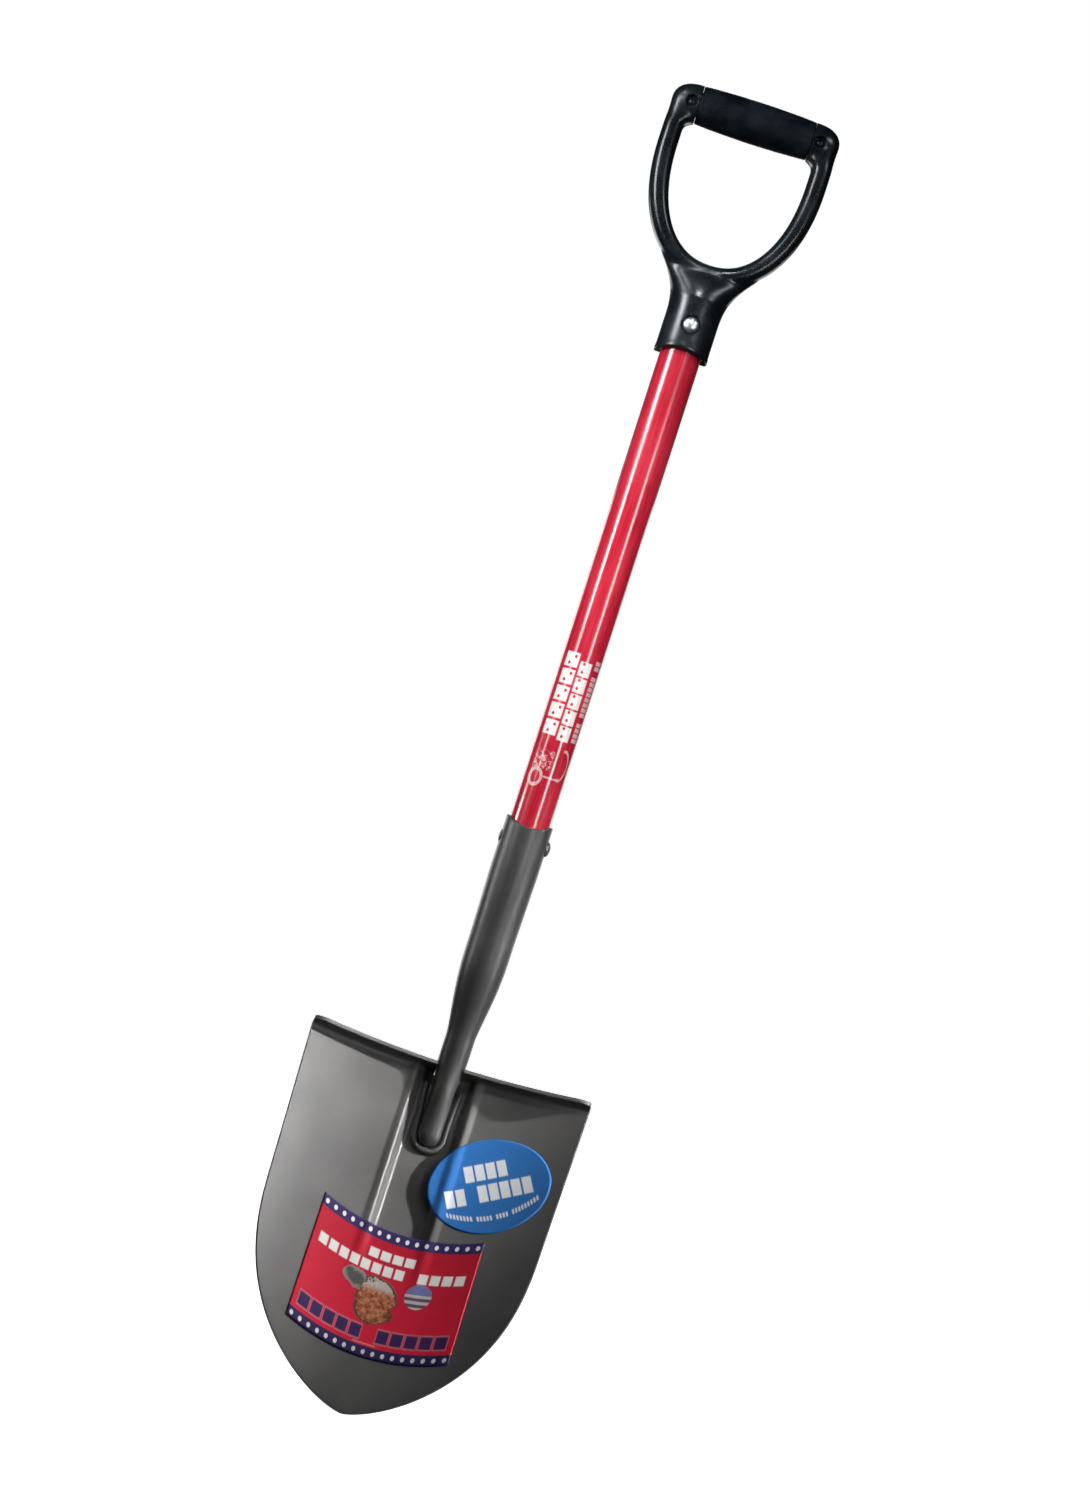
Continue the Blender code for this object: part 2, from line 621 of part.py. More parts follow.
def make_grip_sleeve():
    """Pebbled sleeve moulded over the bar: a barrel, a little flattened front to back."""
    end, middle = SLEEVE_RADIUS
    inner = CORE_RADIUS + GAP
    length = SLEEVE_HALF_LENGTH
    outside = []
    for i in range(9):
        along = length * (1 - i / 4)
        radius = end + (middle - end) * (1 - (along / length) ** 2)
        outside.append((radius - (0.0012 if i in (0, 8) else 0), along))
    profile = [(inner, length)] + outside + [(inner, -length)]
    points, faces = [], []
    for k in range(SIDES):
        angle = 2 * math.pi * k / SIDES
        for radius, along in profile:
            flat = SLEEVE_FLATTEN if radius > inner else 1.0
            points.append((along, -radius * flat * math.cos(angle), radius * math.sin(angle)))
    count = len(profile)
    for k in range(SIDES):
        here, there = k * count, (k + 1) % SIDES * count
        for i in range(count):
            j = (i + 1) % count
            faces.append((here + i, here + j, there + j, there + i))
    mesh = mesh_of("grip_sleeve", points, faces)
    shape = bmesh.new()
    shape.from_mesh(mesh)
    bmesh.ops.recalc_face_normals(shape, faces=shape.faces)
    shape.to_mesh(mesh)
    shape.free()
    shade_round(mesh, 50)
    place("grip_sleeve", mesh, SLEEVE_RUBBER, location=(0, 0, BAR_Z))


# ---------------------------------------------------------------- stickers

def sticker(name, points, faces, material):
    """A thin sheet that follows the dish and bridges the channel; points are (across, up)."""
    laid = [(across, -dished(across, up) - rib(across, up) - LABEL_GAP, up) for across, up in points]
    mesh = mesh_of(name, laid, faces)
    obj = place(name, mesh, material, (0, BLADE_Y, BLADE_Z), (-LIFT, 0, 0))
    sheet = obj.modifiers.new("Solidify", "SOLIDIFY")
    sheet.thickness = LABEL_THICKNESS
    sheet.offset = 1
    return obj


def make_blade_label():
    columns, rows = 24, 6
    points, faces = [], []
    for i in range(columns + 1):
        share = 2 * i / columns - 1
        for row in range(rows + 1):
            level = LABEL_CENTRE[1] - LABEL_SMILE * (1 - share ** 2)
            points.append((LABEL_CENTRE[0] + LABEL_HALF_SIZE[0] * share,
                           level + LABEL_HALF_SIZE[1] * (2 * row / rows - 1)))
    for i in range(columns):
        for row in range(rows):
            a, b = i * (rows + 1) + row, (i + 1) * (rows + 1) + row
            faces.append((a, b, b + 1, a + 1))
    sticker("blade_label", points, faces, LABEL_PAPER)


def make_oval_label():
    around, rings = 32, 6
    points, faces = [OVAL_CENTRE], []
    for i in range(1, rings + 1):
        for k in range(around):
            angle = 2 * math.pi * k / around
            long, short = (OVAL_HALF_SIZE[0] * math.cos(angle) * i / rings,
                           OVAL_HALF_SIZE[1] * math.sin(angle) * i / rings)
            points.append((OVAL_CENTRE[0] + long * math.cos(OVAL_TILT) - short * math.sin(OVAL_TILT),
                           OVAL_CENTRE[1] + long * math.sin(OVAL_TILT) + short * math.cos(OVAL_TILT)))
    for k in range(around):
        following = (k + 1) % around
        faces.append((0, 1 + k, 1 + following))
        for i in range(rings - 1):
            inner, outer = 1 + i * around, 1 + (i + 1) * around
            faces.append((inner + k, outer + k, outer + following, inner + following))
    sticker("oval_label", points, faces, OVAL_PAPER)


make_blade()
SOCKET_HOLE = make_socket()
make_weld()
GRIP_HOLE = make_grip_frame()
make_shaft(SOCKET_HOLE, GRIP_HOLE)
make_rivets()
make_grip_sleeve()
make_blade_label()
make_oval_label()
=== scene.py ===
from functools import partial, reduce
from math import cos, pi, radians, sin, sqrt

import bmesh
import bpy
import numpy as np
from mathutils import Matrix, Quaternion, Vector, noise


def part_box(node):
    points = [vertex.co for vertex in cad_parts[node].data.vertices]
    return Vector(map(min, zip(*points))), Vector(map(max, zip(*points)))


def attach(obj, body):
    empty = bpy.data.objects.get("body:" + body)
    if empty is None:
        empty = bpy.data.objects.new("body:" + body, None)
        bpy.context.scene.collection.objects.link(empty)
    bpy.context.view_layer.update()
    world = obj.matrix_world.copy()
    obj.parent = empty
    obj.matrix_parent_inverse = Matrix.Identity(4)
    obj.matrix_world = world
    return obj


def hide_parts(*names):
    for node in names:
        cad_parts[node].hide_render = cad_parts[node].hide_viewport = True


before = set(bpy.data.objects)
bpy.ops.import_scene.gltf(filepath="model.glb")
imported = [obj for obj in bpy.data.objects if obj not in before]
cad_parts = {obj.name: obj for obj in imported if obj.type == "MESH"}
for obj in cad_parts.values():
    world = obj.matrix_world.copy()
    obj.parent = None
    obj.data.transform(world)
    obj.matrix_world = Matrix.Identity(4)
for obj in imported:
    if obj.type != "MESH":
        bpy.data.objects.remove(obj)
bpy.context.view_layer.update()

# ---- dimensions in metres: the CAD's, but for a narrower notch and a grip rivet set lower

shaft_low, shaft_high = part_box("shaft")
AXIS_Y = (shaft_low.y + shaft_high.y) / 2
SHAFT_ENDS = (shaft_low.z, shaft_high.z)

GAP = 0.0003
STEEL = 0.00266
LIFT = radians(20.0)
SIN, COS = sin(LIFT), cos(LIFT)
BLADE_LENGTH = 0.2678
BLADE_HALF_WIDTH = 0.1092
POINT_HALF_WIDTH = 0.1043
POINT_LENGTH = 0.149
POINT_POWERS = (1.43, 2.52)
DISH = 0.024
TIP_CURL = 0.006
CHANNEL_HALF_WIDTH = 0.0205
CHANNEL_WALL = 0.0075
CHANNEL_DEPTH = 0.007
CHANNEL_ENDS = (0.055, 0.19)
RIB_HEIGHT = 0.0015
RIB_CENTRE = 0.024
RIB_HALF_WIDTH = 0.0062
STEP_DEPTH = 0.015
STEP_BEND = 0.003
STEP_CORNER = 0.012
NOTCH_HALF_WIDTH = 0.0104

NECK_RADIUS = 0.0114
SOCKET_RADIUS = (0.01845, 0.0175)
SOCKET_WALL = 0.00215
SOCKET_TOP = 0.4523
SOCKET_DIP = 0.005
MOUTH_TAPER = (0.36, 0.41)
SHOULDER = (0.2806, 0.3424)
SHOULDER_POWER = 0.75
DIP_START = 0.43
SOCKET_BORE_END = 0.262
SOCKET_LIP = 0.0006
NECK_BOTTOM = 0.268
SEAM_DEPTH = 0.035
SEAM_HALF_ANGLE = 0.035
SEAM_START = 0.285
SEAM_RISE = 0.03
TONGUE_HALF_WIDTH = 0.0087
TONGUE_HALF_DEPTH = 0.0048
TONGUE_LENGTH = 0.0586
TONGUE_RUN = TONGUE_LENGTH - TONGUE_HALF_WIDTH
TONGUE_START = 0.012
BEAD_RADIUS = 0.0025
BEAD_START = 0.009
BEAD_FLARE = 0.0022

SHAFT_RADIUS = 0.016
SHAFT_BORE = 0.011
SOCKET_RIVET_HEIGHT = 0.4355
GRIP_RIVET_HEIGHT = 0.8488
RIVET_SHANK = 0.003
RIVET_HEAD = 0.006
RIVET_SEAT = 0.008
RIVET_DOME = 0.0034
SOCKET_RIVET_TAIL = (0.0052, 0.0018)
GRIP_RIVET_TAIL = (0.0048, 0.0022)
WASHER_RADIUS = 0.007
WASHER_THICKNESS = 0.0012

COLLAR_RADIUS = 0.0209
COLLAR_BOTTOM = 0.8255
GRIP_TOP = 1.0329
COLLAR_ARCH = 0.0045
COLLAR_LIP = 0.0006
GRIP_HALF_WIDTH = 0.0675
GRIP_HALF_DEPTH = 0.011
GRIP_SPRING = 0.984
OUTER_DROP = 0.0975
INNER_DROP = 0.0833
HOLE_HALF_WIDTH = 0.0519
BOW_POWER = 2.2
BAR_HEIGHT = 0.0326
SLEEVE_HALF_LENGTH = 0.0452
SLEEVE_RADIUS = (0.0149, 0.0163)
SLEEVE_FLATTEN = 0.86
CORE_RADIUS = 0.01
CORE_HALF_LENGTH = 0.055
BAR_END_RADIUS = 0.0152
BAR_END = (0.038, 0.047)
EAR_RECESS = (0.0515, 1.015)
MELT = 0.0006
PEBBLE_RELIEF = 0.00034
PEBBLES_PER_METRE = 620

LABEL_CENTRE = (0.0015, 0.1024)
LABEL_HALF_SIZE = (0.0623, 0.0476)
LABEL_SMILE = 0.012
OVAL_CENTRE = (0.054, 0.192)
OVAL_HALF_SIZE = (0.0462, 0.036)
OVAL_TILT = radians(27.0)
VINYL = 0.00025
VINYL_SINK = 0.0003

CHANNEL_FLOOR_Y = NECK_RADIUS + GAP + 0.0001
BLADE_Y = CHANNEL_FLOOR_Y - BLADE_LENGTH * SIN - CHANNEL_DEPTH * COS
BLADE_Z = (STEEL - TIP_CURL) * SIN + 0.0001
BAR_Z = GRIP_TOP - BAR_HEIGHT / 2
GRIP_SEAT = COLLAR_RADIUS - 0.002
SOCKET_SEAT = SOCKET_RADIUS[0] - 0.0008


def smooth(value):
    value = np.clip(value, 0.0, 1.0)
    return value * value * (3 - 2 * value)


# ---- meshes

def grid_faces(lines, points, close_lines=False, close_points=False):
    """Quads over points laid out as lines of points."""
    faces = []
    for i in range(lines - (0 if close_lines else 1)):
        here, there = i * points, (i + 1) % lines * points
        for k in range(points - (0 if close_points else 1)):
            following = (k + 1) % points
            faces.append((here + k, there + k, there + following, here + following))
    return faces


def tube_faces(rings, around):
    """Quads over closed rings of points, and a cap at each end."""
    last = rings * around - 1
    caps = [tuple(range(around)), tuple(range(last, last - around, -1))]
    return grid_faces(rings, around, close_points=True) + caps


def add_object(name, data):
    obj = bpy.data.objects.new(name, data)
    bpy.context.scene.collection.objects.link(obj)
    return obj


def new_object(name, points, faces, material, node=None, slot=None, sharp=None):
    """A smooth mesh object whose normals point out; with node it stands for that CAD node."""
    mesh = bpy.data.meshes.new(name)
    mesh.from_pydata([tuple(float(x) for x in point) for point in points], [], faces)
    shape = bmesh.new()
    shape.from_mesh(mesh)
    bmesh.ops.recalc_face_normals(shape, faces=shape.faces)
    shape.to_mesh(mesh)
    shape.free()
    mesh.shade_smooth()
    if sharp:
        mesh.set_sharp_from_angle(angle=radians(sharp))
    mesh.materials.append(material)
    obj = add_object(name, mesh)
    if node:
        adopt(obj, node)
    return obj


def adopt(obj, node):
    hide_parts(node)
    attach(obj, "root")


def apply_modifiers(obj):
    graph = bpy.context.evaluated_depsgraph_get()
    mesh = bpy.data.meshes.new_from_object(obj.evaluated_get(graph))
    obj.modifiers.clear()
    obj.data = mesh


def thicken(sheet, thickness, forward):
    """A Solidify modifier that adds the sheet's other side in front of it, or behind it."""
    faces_front = sum(polygon.normal.y for polygon in sheet.data.polygons) < 0
    solid = sheet.modifiers.new("Solidify", "SOLIDIFY")
    solid.thickness = thickness
    solid.offset = 1 if faces_front == forward else -1
    return solid


def on_shaft(points, height=0.0):
    """From a frame on the shaft's line, that high up it, to the row frame."""
    return np.asarray(points, float) + (0.0, AXIS_Y, height)


def on_blade(across, up, forward):
    """Row-frame points from places on the blade: across, up along it, and forward off its flat."""
    return np.stack([across, AXIS_Y + BLADE_Y + up * SIN - forward * COS,
                     BLADE_Z + up * COS + forward * SIN], axis=-1)


def turned(profile, sides, axis):
    """(points, faces) of a body of revolution about an axis, from (radius, along) points."""
    angles = np.arange(sides) * 2 * pi / sides
    lines = []
    for angle in angles:
        for radius, along in profile:
            a, b = radius * cos(angle), radius * sin(angle)
            lines.append({"Z": (a, b, along), "X": (along, a, b), "Y": (a, -along, b)}[axis])
    return lines, grid_faces(sides, len(profile), close_lines=True)


def turned_object(name, profile, sides, axis, place, material, node=None, slot=None, sharp=None):
    """A body of revolution about a line through a place in the shaft line's frame."""
    points, faces = turned(profile, sides, axis)
    return new_object(name, on_shaft(np.array(points) + place), faces, material, node, slot, sharp)


def bezier(start, knee, end, share):
    return (1 - share) ** 2 * start + 2 * share * (1 - share) * knee + share ** 2 * end


def rounded_profile(corners, radius, steps=4):
    """A (radius, along) outline with its inner corners rounded."""
    corners = [np.array(corner, float) for corner in corners]
    out = corners[:1]
    for before, corner, after in zip(corners, corners[1:], corners[2:]):
        sides = before - corner, after - corner
        lengths = [np.linalg.norm(side) for side in sides]
        reach = min(radius, min(lengths) / 2.01)
        start, end = (corner + side / length * reach for side, length in zip(sides, lengths))
        out += [bezier(start, corner, end, share) for share in np.linspace(0, 1, steps + 1)]
    return out + corners[-1:]


# ---- materials

class Shader:
    """A Principled material and short calls for the nodes that feed it."""

    def __init__(self, name, colour, roughness, metallic=0, **sockets):
        self.material = bpy.data.materials.new(name)
        self.material.use_nodes = True
        self.tree = self.material.node_tree
        self.surface = self.tree.nodes["Principled BSDF"]
        self.set(Base_Color=(*colour, 1), Roughness=roughness, Metallic=metallic, **sockets)

    def put(self, node_type, **inputs):
        node = self.tree.nodes.new(node_type)
        for key, value in inputs.items():
            self.feed(node.inputs[key.replace("_", " ")], value)
        return node

    def feed(self, socket, value):
        if isinstance(value, bpy.types.NodeSocket):
            self.tree.links.new(value, socket)
        else:
            socket.default_value = value

    def math(self, operation, *values):
        node = self.put("ShaderNodeMath")
        node.operation = operation
        for socket, value in zip(node.inputs, values):
            self.feed(socket, value)
        return node.outputs[0]

    def place(self):
        return self.put("ShaderNodeTexCoord").outputs["Object"]

    def sheet_place(self):
        """Across and up on a sticker, from its UV map."""
        part = self.put("ShaderNodeSeparateXYZ", Vector=self.put("ShaderNodeUVMap").outputs[0])
        return part.outputs["X"], part.outputs["Y"]

    def noise(self, scale, detail=3, rough=0.55, along=None, distortion=0):
        """Noise through the object; along under 1 draws it out in Z."""
        place = self.place()
        if along:
            place = self.put("ShaderNodeMapping", Vector=place, Scale=(1, 1, along)).outputs[0]
        node = self.put("ShaderNodeTexNoise", Vector=place, Scale=scale, Detail=detail, Roughness=rough,
                        Distortion=distortion)
        return node.outputs["Fac"]

    def cells(self, scale):
        return self.put("ShaderNodeTexVoronoi", Vector=self.place(), Scale=scale).outputs["Distance"]

    def ramp(self, value, low, high, to_low=0, to_high=1, smoothly=True):
        node = self.put("ShaderNodeMapRange")
        node.interpolation_type = "SMOOTHSTEP" if smoothly else "LINEAR"
        for socket, given in zip(node.inputs, (value, low, high, to_low, to_high)):
            self.feed(socket, given)
        return node.outputs[0]

    def mix(self, share, first, second):
        node = self.put("ShaderNodeMix")
        node.data_type = "RGBA"
        self.feed(node.inputs[0], share)
        for socket, value in ((node.inputs[6], first), (node.inputs[7], second)):
            self.feed(socket, value if isinstance(value, bpy.types.NodeSocket) else (*value, 1))
        return node.outputs[2]

    def inside(self, value, low, high, soft):
        """1 where value lies between low and high."""
        return self.times(self.ramp(value, low - soft, low + soft),
                         self.ramp(value, high - soft, high + soft, 1, 0))

    def times(self, *values):
        return reduce(partial(self.math, "MULTIPLY"), values)

    both = times

    def either(self, *masks):
        return reduce(partial(self.math, "MAXIMUM"), masks)

    def minus(self, first, second):
        return self.math("SUBTRACT", first, second)

    def bars(self, value, start, pitch, count, fill, soft, skipped=()):
        """A row of bars along value, leaving out the skipped ones."""
        run = self.math("DIVIDE", self.minus(value, start), pitch)
        part = self.math("FRACT", run)
        row = self.both(self.inside(part, (1 - fill) / 2, (1 + fill) / 2, soft),
                        self.inside(run, 0, float(count), 0.001))
        for index in skipped:
            gap = self.inside(run, float(index), index + 1, 0.001)
            row = self.times(row, self.minus(1, gap))
        return row

    def round_mark(self, across, up, centre, radii, soft):
        """1 inside an ellipse, and the distance from its centre, which is 1 on its edge."""
        a = self.math("DIVIDE", self.minus(across, centre[0]), radii[0])
        b = self.math("DIVIDE", self.minus(up, centre[1]), radii[1])
        away = self.math("SQRT", self.math("ADD", self.times(a, a), self.times(b, b)))
        return self.ramp(away, 1 - soft, 1 + soft, 1, 0), away

    def bump(self, height, distance, strength=1, after=None):
        node = self.put("ShaderNodeBump", Height=height, Distance=distance, Strength=strength)
        if after:
            self.tree.links.new(after, node.inputs["Normal"])
        return node.outputs[0]

    def set(self, **inputs):
        for key, value in inputs.items():
            self.feed(self.surface.inputs[key.replace("_", " ")], value)
        return self.material


def paint(name, dark, light, roughness, metallic, grain=0.00006):
    """Satin baked paint over steel: fine grain, faint clouds, small specks and a few light scuffs."""
    s = Shader(name, dark, roughness, metallic)
    fine = s.noise(2600, 2, 0.6)
    clouds = s.noise(16, 4, 0.6)
    drift = s.noise(5200, 1, 0.5)
    colour = s.mix(s.ramp(clouds, 0.32, 0.72), dark, light)
    colour = s.mix(s.times(s.ramp(drift, 0.6, 0.78), 0.1), colour,
                   tuple(min(1, 2.2 * x) for x in light))
    scratch = s.noise(95, 2, 0.5, along=0.06)
    scuffs = s.both(s.ramp(scratch, 0.7, 0.74), s.ramp(s.noise(9, 2), 0.52, 0.66))
    rough = s.math("ADD", s.ramp(clouds, 0.25, 0.75, roughness - 0.05, roughness + 0.06),
                   s.times(scuffs, 0.08))
    normal = s.bump(fine, grain, 0.8)
    normal = s.bump(s.noise(160, 2), 0.00012, 0.5, after=normal)
    return s.set(Base_Color=colour, Roughness=rough, Normal=normal)


def shaft_print(s):
    """Ink on the shaft: three rows of bars, a curl, a bow and a sprig."""
    part = s.put("ShaderNodeSeparateXYZ", Vector=s.place())
    back = s.minus(AXIS_Y, part.outputs["Y"])
    turn = s.math("ARCTAN2", part.outputs["X"], back)
    height = part.outputs["Z"]
    wide_pitch, bold_pitch, thin_pitch = 0.0135, 0.0128, 0.0041
    wide = s.both(s.inside(turn, -0.87, -0.15, 0.02), s.bars(height, 0.5185, wide_pitch, 5, 0.84, 0.03))
    bold = s.both(s.inside(turn, -0.04, 0.55, 0.02), s.bars(height, 0.5165, bold_pitch, 5, 0.88, 0.03))
    thin = s.both(s.inside(turn, 0.74, 1.1, 0.03),
                  s.bars(height, 0.518, thin_pitch, 16, 0.78, 0.06, skipped=(4, 13)))
    holes = []
    for across, start, pitch in ((-0.6, 0.5225, wide_pitch), (-0.34, 0.528, wide_pitch),
                                 (0.16, 0.5205, bold_pitch / 2)):
        run = s.math("DIVIDE", s.minus(height, start), pitch)
        part_of = s.minus(s.math("FRACT", s.math("ADD", run, 0.5)), 0.5)
        holes.append(s.round_mark(turn, part_of, (across, 0), (0.075, 0.0013 / pitch), 0.25)[0])
    curl, away = s.round_mark(turn, height, (-0.5, 0.486), (0.38, 0.0076), 0.03)
    curl = s.both(curl, s.ramp(away, 0.6, 0.7))
    bow, away = s.round_mark(turn, height, (0.62, 0.499), (0.42, 0.0125), 0.03)
    bow = s.both(bow, s.ramp(away, 0.8, 0.86), s.ramp(turn, 0.5, 0.6))
    twigs = s.noise(420, 2, 0.6, along=0.8, distortion=1.2)
    sprig = s.both(s.inside(turn, -0.8, 0.12, 0.05), s.inside(height, 0.493, 0.5075, 0.0008),
                   s.ramp(twigs, 0.5, 0.58))
    foot = s.both(s.inside(turn, -0.1, 0.62, 0.03), s.inside(height, 0.4868, 0.4882, 0.0003))
    solid = s.either(wide, bold, s.times(thin, 0.6))
    white = s.times(solid, s.minus(1, s.either(*holes)))
    pale = s.times(s.either(curl, bow, sprig, foot), 0.55)
    worn = s.ramp(s.noise(1500, 2, 0.7), 0.3, 0.42, 0.55, 1)
    return s.times(s.either(white, pale), worn)


def fibreglass():
    """Glossy crimson resin with long faint fibres and lighter patches, under a white print."""
    deep, bright, patch = (0.43, 0.01, 0.026), (0.6, 0.024, 0.05), (0.66, 0.04, 0.07)
    s = Shader("red_fibreglass_gloss", bright, 0.2, Coat_Weight=0.4, Coat_Roughness=0.08)
    fibres = s.noise(900, 3, 0.6, along=0.025)
    patches = s.noise(30, 3, 0.6, along=0.35)
    colour = s.mix(s.ramp(fibres, 0.35, 0.65), deep, bright)
    colour = s.mix(s.ramp(patches, 0.35, 0.7, 0, 0.45), colour, patch)
    ink = shaft_print(s)
    colour = s.mix(ink, colour, (0.9, 0.8, 0.78))
    normal = s.bump(fibres, 0.00004, 0.6)
    normal = s.bump(s.noise(55, 2), 0.00025, 0.35, after=normal)
    rough = s.math("ADD", s.ramp(patches, 0.3, 0.7, 0.17, 0.26), s.times(ink, 0.12))
    return s.set(Base_Color=colour, Roughness=rough, Normal=normal)


def gloss_plastic():
    """Black moulded plastic with faint flow clouds and an almost smooth skin."""
    s = Shader("black_grip_gloss", (0.008, 0.012, 0.015), 0.26)
    clouds = s.noise(35, 4, 0.6)
    colour = s.mix(s.ramp(clouds, 0.35, 0.7), (0.005, 0.008, 0.011), (0.011, 0.016, 0.019))
    normal = s.bump(s.noise(60, 2), 0.00005, 0.4)
    return s.set(Base_Color=colour, Roughness=s.ramp(clouds, 0.3, 0.7, 0.24, 0.32), Normal=normal)


def pebbled_rubber():
    """Matte overmould: rounded pebbles of about a millimetre, and faint brown marks of use."""
    s = Shader("pebbled_sleeve", (0.016, 0.021, 0.026), 0.6)
    patches = s.noise(70, 4, 0.65)
    colour = s.mix(s.ramp(patches, 0.35, 0.68), (0.002, 0.004, 0.008), (0.007, 0.011, 0.018))
    colour = s.mix(s.ramp(s.noise(120, 3), 0.6, 0.75, 0, 0.35), colour, (0.018, 0.014, 0.014))
    normal = s.bump(s.cells(780), 0.0006, -1)
    normal = s.bump(s.noise(2400, 2), 0.00008, 0.6, after=normal)
    return s.set(Base_Color=colour, Roughness=s.ramp(patches, 0.3, 0.7, 0.42, 0.64),
                 Specular_IOR_Level=0.22, Normal=normal)


def steel(name, colour, roughness):
    """Bare or plated steel with fine turning marks and faint stains."""
    s = Shader(name, colour, roughness, 1)
    marks = s.noise(1800, 2)
    stains = s.noise(240, 3, 0.6)
    tint = s.mix(s.ramp(stains, 0.35, 0.75), colour, tuple(0.72 * x for x in colour))
    return s.set(Base_Color=tint, Roughness=s.ramp(stains, 0.3, 0.7, roughness - 0.05, roughness + 0.1),
                 Normal=s.bump(marks, 0.00003, 0.5))


def raw_plastic():
    s = Shader("plug_raw_plastic", (0.6, 0.56, 0.46), 0.6)
    grain = s.noise(400, 3)
    return s.set(Base_Color=s.mix(grain, (0.52, 0.48, 0.38), (0.66, 0.62, 0.53)),
                 Normal=s.bump(grain, 0.0001, 0.5))


def vinyl(s, colour, mottle):
    """A sticker's finish: faint waves and an uneven gloss over its print."""
    normal = s.bump(s.noise(90, 2), 0.0002, 0.5)
    return s.set(Base_Color=colour, Roughness=s.ramp(mottle, 0.3, 0.7, 0.36, 0.48), Normal=normal)


def label_white(s, across, up):
    """White print of the red sticker: a row of dots along each band, and two rows of bars."""
    dots_across = 17
    marks = []
    for middle in (0.044, 0.956):
        part_of = s.minus(s.math("FRACT", s.times(across, dots_across)), 0.5)
        marks.append(s.round_mark(part_of, up, (0, middle), (0.2, 0.0195), 0.12)[0])
    rows = [  # height, half height, start, pitch, count, fill, skipped
        (0.8, 0.036, 0.35, 0.075, 4, 0.8, ()),
        (0.69, 0.04, 0.04, 0.0707, 13, 0.78, (8,)),
    ]
    for middle, half, start, pitch, count, fill, skipped in rows:
        marks.append(s.both(s.inside(up, middle - half, middle + half, 0.006),
                            s.bars(across, start, pitch, count, fill, 0.05, skipped)))
    return s.either(*marks)


def label_middle(s, across, up, colour):
    """A grey oval, a mottled brown oval over it and a striped disc, on the colour given."""
    wave = s.ramp(s.noise(150, 3, 0.6), 0.2, 0.8, -0.035, 0.035, smoothly=False)
    wavy_across, wavy_up = s.math("ADD", across, wave), s.minus(up, wave)
    grey, away = s.round_mark(wavy_across, wavy_up, (0.325, 0.565), (0.08, 0.066), 0.05)
    colour = s.mix(grey, colour, s.mix(s.ramp(away, 0.5, 0.9), (0.1, 0.095, 0.09), (0.3, 0.27, 0.25)))
    brown, away = s.round_mark(wavy_across, wavy_up, (0.475, 0.44), (0.13, 0.185), 0.03)
    body = s.mix(s.ramp(s.noise(330, 3, 0.7), 0.38, 0.62), (0.2, 0.055, 0.03), (0.62, 0.22, 0.11))
    from_cap = s.math("ABSOLUTE", s.minus(up, 0.58))
    body = s.mix(s.ramp(from_cap, 0.02, 0.08, 0.75, 0), body, (0.62, 0.58, 0.55))
    colour = s.mix(brown, colour, body)
    colour = s.mix(s.both(brown, s.ramp(away, 0.88, 0.94)), colour, (0.09, 0.05, 0.04))
    disc, _ = s.round_mark(across, up, (0.715, 0.545), (0.078, 0.1), 0.04)
    stripes = s.bars(up, 0.45, 0.05, 4, 0.5, 0.08)
    colour = s.mix(disc, colour, s.mix(stripes, (0.62, 0.6, 0.62), (0.16, 0.09, 0.12)))
    return s.mix(s.both(disc, s.inside(up, 0.565, 0.66, 0.006)), colour, (0.2, 0.22, 0.48))


def label_dark(s, across, up, colour):
    """A row of dark bars with pale outlines, and a small line under them, on the colour given."""
    start, pitch, count, skipped = 0.035, 0.0845, 11, (5,)
    outline = s.both(s.inside(up, 0.122, 0.248, 0.006),
                     s.bars(across, start, pitch, count, 0.94, 0.04, skipped))
    colour = s.mix(s.times(outline, 0.45), colour, (0.62, 0.35, 0.42))
    low = s.both(s.inside(up, 0.135, 0.235, 0.006), s.bars(across, start, pitch, count, 0.8, 0.04, skipped))
    colour = s.mix(low, colour, (0.06, 0.025, 0.12))
    small = s.both(s.inside(up, 0.1, 0.112, 0.003), s.inside(across, 0.42, 0.56, 0.004))
    return s.mix(s.times(small, 0.5), colour, (0.8, 0.45, 0.45))


def label_print():
    """Red vinyl, lighter toward its foot, between navy bands, with its print over them."""
    band_height, band_soft = 0.088, 0.003
    s = Shader("red_label_print", (0.545, 0.013, 0.037), 0.42, Specular_IOR_Level=0.35)
    across, up = s.sheet_place()
    mottle = s.noise(420, 3, 0.6)
    field = s.mix(s.ramp(up, 0, 1), (0.9, 0.024, 0.065), (0.52, 0.01, 0.03))
    field = s.mix(s.times(mottle, 0.5), field, (0.6, 0.02, 0.05))
    band = s.either(s.inside(up, -1, band_height, band_soft), s.inside(up, 1 - band_height, 2, band_soft))
    colour = s.mix(band, field, s.mix(mottle, (0.04, 0.025, 0.11), (0.045, 0.03, 0.13)))
    colour = s.mix(label_white(s, across, up), colour, (0.88, 0.85, 0.84))
    colour = label_middle(s, across, up, colour)
    colour = label_dark(s, across, up, colour)
    return vinyl(s, colour, mottle)


